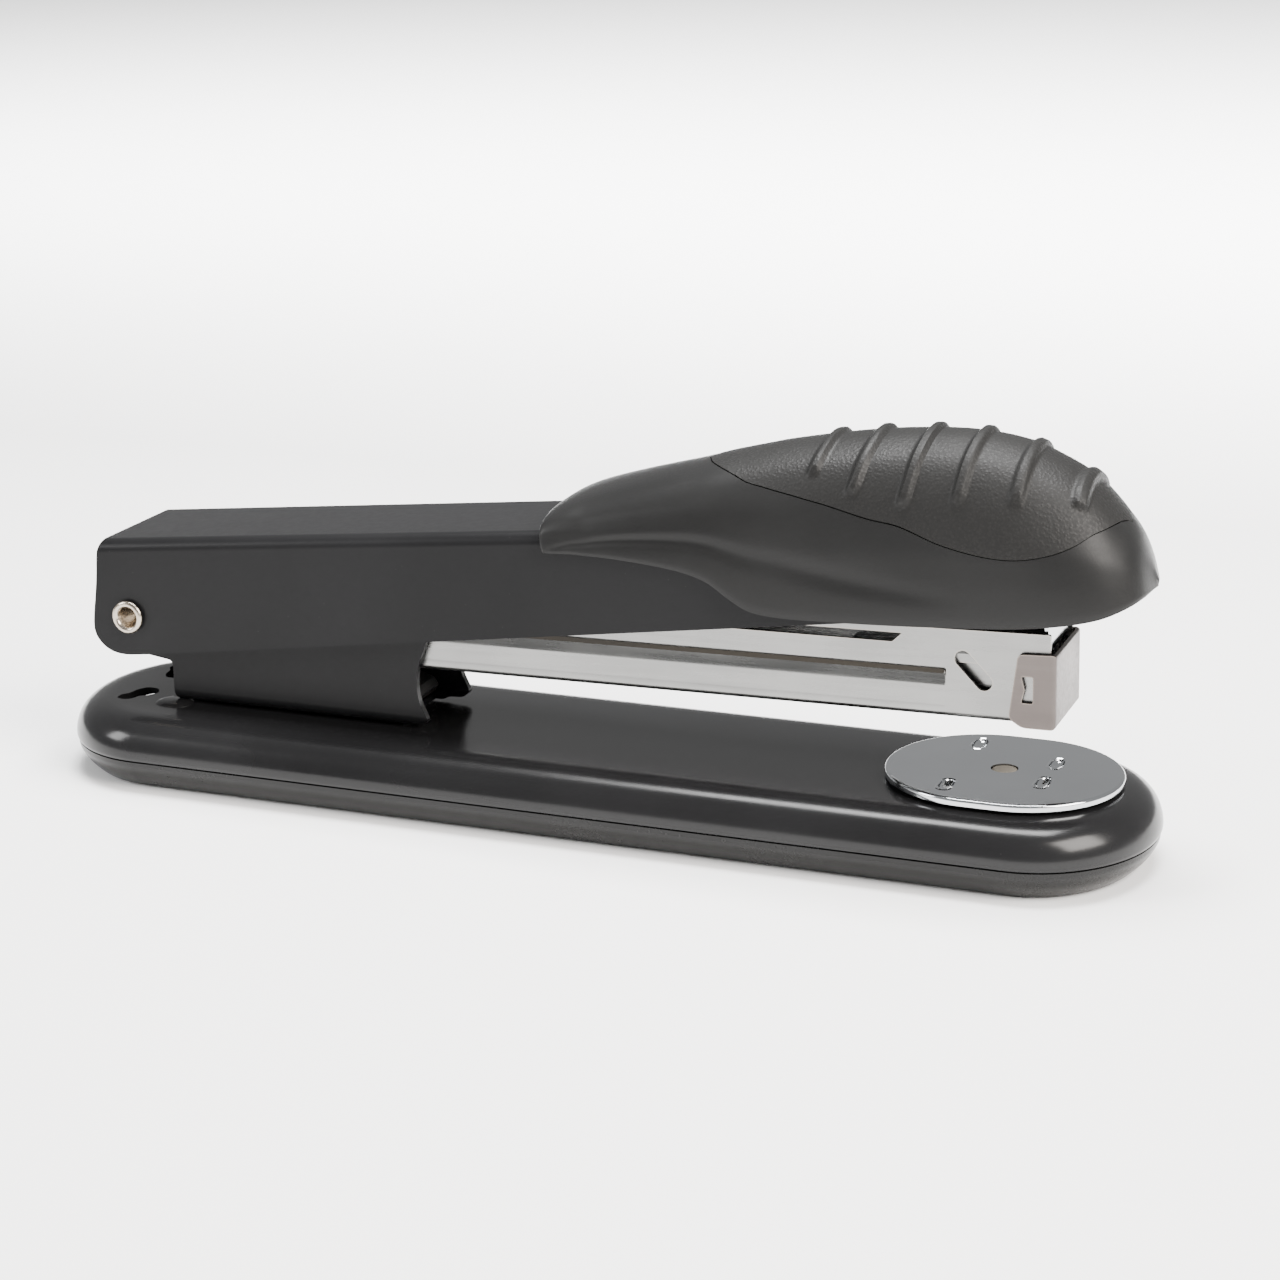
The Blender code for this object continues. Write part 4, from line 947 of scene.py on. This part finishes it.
def cap_outer(row, col):
    """The moulded surface, with its rim rolled in slightly and a soft crease above the lower flank."""
    rim = min(col, 2 * GRIP_STEPS_ACROSS - col)
    roll = RIM_ROLL * max(1.0 - rim / 1.5, 0.0)
    height = 1.0 - abs(col / GRIP_STEPS_ACROSS - 1.0)
    station = row / GRIP_STEPS_ALONG
    crease = 0.0
    if CREASE[0][0] < station < CREASE[-1][0]:
        line, depth = interpolate(CREASE, station)
        crease = depth * math.exp(-((height - line) / CREASE_WIDTH) ** 2)
    return -max(roll, REAR_ROLL * max(1.0 - row / 1.5, 0.0)) - crease


def cap_wall(row, col):
    """The wall is thin beside the steel handle and thick under the pad."""
    height = 1.0 - abs(col / GRIP_STEPS_ACROSS - 1.0)
    station = row / GRIP_STEPS_ALONG
    past_flanges = min(max((station - 0.62) / 0.06, 0.0), 1.0)
    top_start = 0.45 - 0.15 * past_flanges
    forward_share = min(max((station - 0.12) / 0.2, 0.0), 1.0)
    top_share = forward_share * min(max((height - top_start) / 0.12, 0.0), 1.0)
    return -(GRIP_SIDE_WALL + (GRIP_TOP_WALL - GRIP_SIDE_WALL) * top_share)


def smooth_step(value):
    """Ease from 0 to 1."""
    value = min(max(value, 0.0), 1.0)
    return value * value * (3.0 - 2.0 * value)


def pad_top(row, col):
    """The pad's skin with its cross ribs, which have flat crests and short ends."""
    crown_u, across = ribbed[row][col][2:]
    for rib_u, reach in PAD_RIBS:
        distance = abs(crown_u - rib_u) / RIB_HALF_WIDTH
        if distance < 1.0:
            fade = smooth_step((reach - abs(across)) / RIB_END_FADE)
            return PAD_RISE + RIB_HEIGHT * fade * smooth_step((1.0 - distance) / (1.0 - RIB_CREST))
    return PAD_RISE


pad_stations = [index / PAD_STEPS_ALONG for index in range(PAD_STEPS_ALONG + 1)]
pocket_rows = [[entry[:2] for entry in row] for row in pad_grid(PAD_GAP, pad_stations[::3])]
pocket = thicken(pocket_rows, lambda row, col: 1.5, lambda row, col: -(PAD_DEPTH + PAD_GAP), "poles")
cap = thicken(grid, cap_outer, cap_wall, "zip")
skin = carved(cap, [("DIFFERENCE", pocket)])
add_piece("grip_cap_skin", skin, "handle", "grip_plastic", ["grip_cap"], None, False)
ribbed = pad_grid(0.0, pad_stations)
pad = thicken(
    [[entry[:2] for entry in row] for row in ribbed],
    pad_top,
    lambda row, col: -PAD_DEPTH,
    "poles",
)
add_piece("grip_pad_skin", finish_mesh(pad), "handle", "grip_rubber", ["grip_pad"], None, False)


def add_light(name, location, aim, size, power, colour=(1.0, 1.0, 1.0)):
    data = bpy.data.lights.new(name, "AREA")
    data.shape = "RECTANGLE"
    data.size, data.size_y = size
    data.energy = power
    data.color = colour
    light = bpy.data.objects.new(name, data)
    light.location = location
    light.rotation_euler = (Vector(aim) - Vector(location)).to_track_quat("-Z", "Y").to_euler()
    bpy.context.scene.collection.objects.link(light)


def studio():
    world = bpy.data.worlds.new("studio")
    world.use_nodes = True
    background = world.node_tree.nodes["Background"]
    background.inputs["Color"].default_value = (1.0, 1.0, 1.0, 1.0)
    background.inputs["Strength"].default_value = 0.5
    bpy.context.scene.world = world
    floor_mesh = bmesh.new()
    bmesh.ops.create_grid(floor_mesh, x_segments=1, y_segments=1, size=3.0)
    data = bpy.data.meshes.new("floor")
    floor_mesh.to_mesh(data)
    floor_mesh.free()
    floor = bpy.data.objects.new("floor", data)
    surface = Surface("floor_white", Roughness=0.9)
    surface.shader.inputs["Base Color"].default_value = (0.92, 0.92, 0.92, 1.0)
    data.materials.append(surface.material)
    bpy.context.scene.collection.objects.link(floor)
    add_light("softbox_top", (0.0, 0.10, 0.75), (0.0, 0.0, 0.0), (0.5, 0.35), 21.0)
    add_light("backdrop_wash", (0.0, 0.5, 0.6), (0.0, 1.7, 0.0), (1.6, 0.5), 80.0)
    add_light("softbox_right", (0.9, -0.3, 0.7), (0.03, 0.0, 0.02), (0.7, 0.7), 36.0, (1.0, 0.95, 0.9))
    add_light("softbox_left", (-0.8, -0.5, 0.5), (-0.03, 0.0, 0.02), (0.3, 0.4), 7.0)


def set_camera():
    flat = Vector((math.cos(CAMERA_AZIMUTH), math.sin(CAMERA_AZIMUTH), 0.0))
    back = Vector((
        math.sin(CAMERA_AZIMUTH) * math.cos(CAMERA_ELEVATION),
        -math.cos(CAMERA_AZIMUTH) * math.cos(CAMERA_ELEVATION),
        math.sin(CAMERA_ELEVATION),
    ))
    rise = back.cross(flat)
    right = math.cos(CAMERA_ROLL) * flat + math.sin(CAMERA_ROLL) * rise
    up = math.cos(CAMERA_ROLL) * rise - math.sin(CAMERA_ROLL) * flat
    data = bpy.data.cameras.new("camera")
    data.lens = CAMERA_LENS
    data.sensor_width = SENSOR
    data.clip_start = 0.01
    camera = bpy.data.objects.new("camera", data)
    place = Matrix((right, up, back)).transposed().to_4x4()
    place.translation = CAMERA_AIM + back * CAMERA_DISTANCE
    camera.matrix_world = place
    bpy.context.scene.collection.objects.link(camera)
    bpy.context.scene.camera = camera


studio()
set_camera()
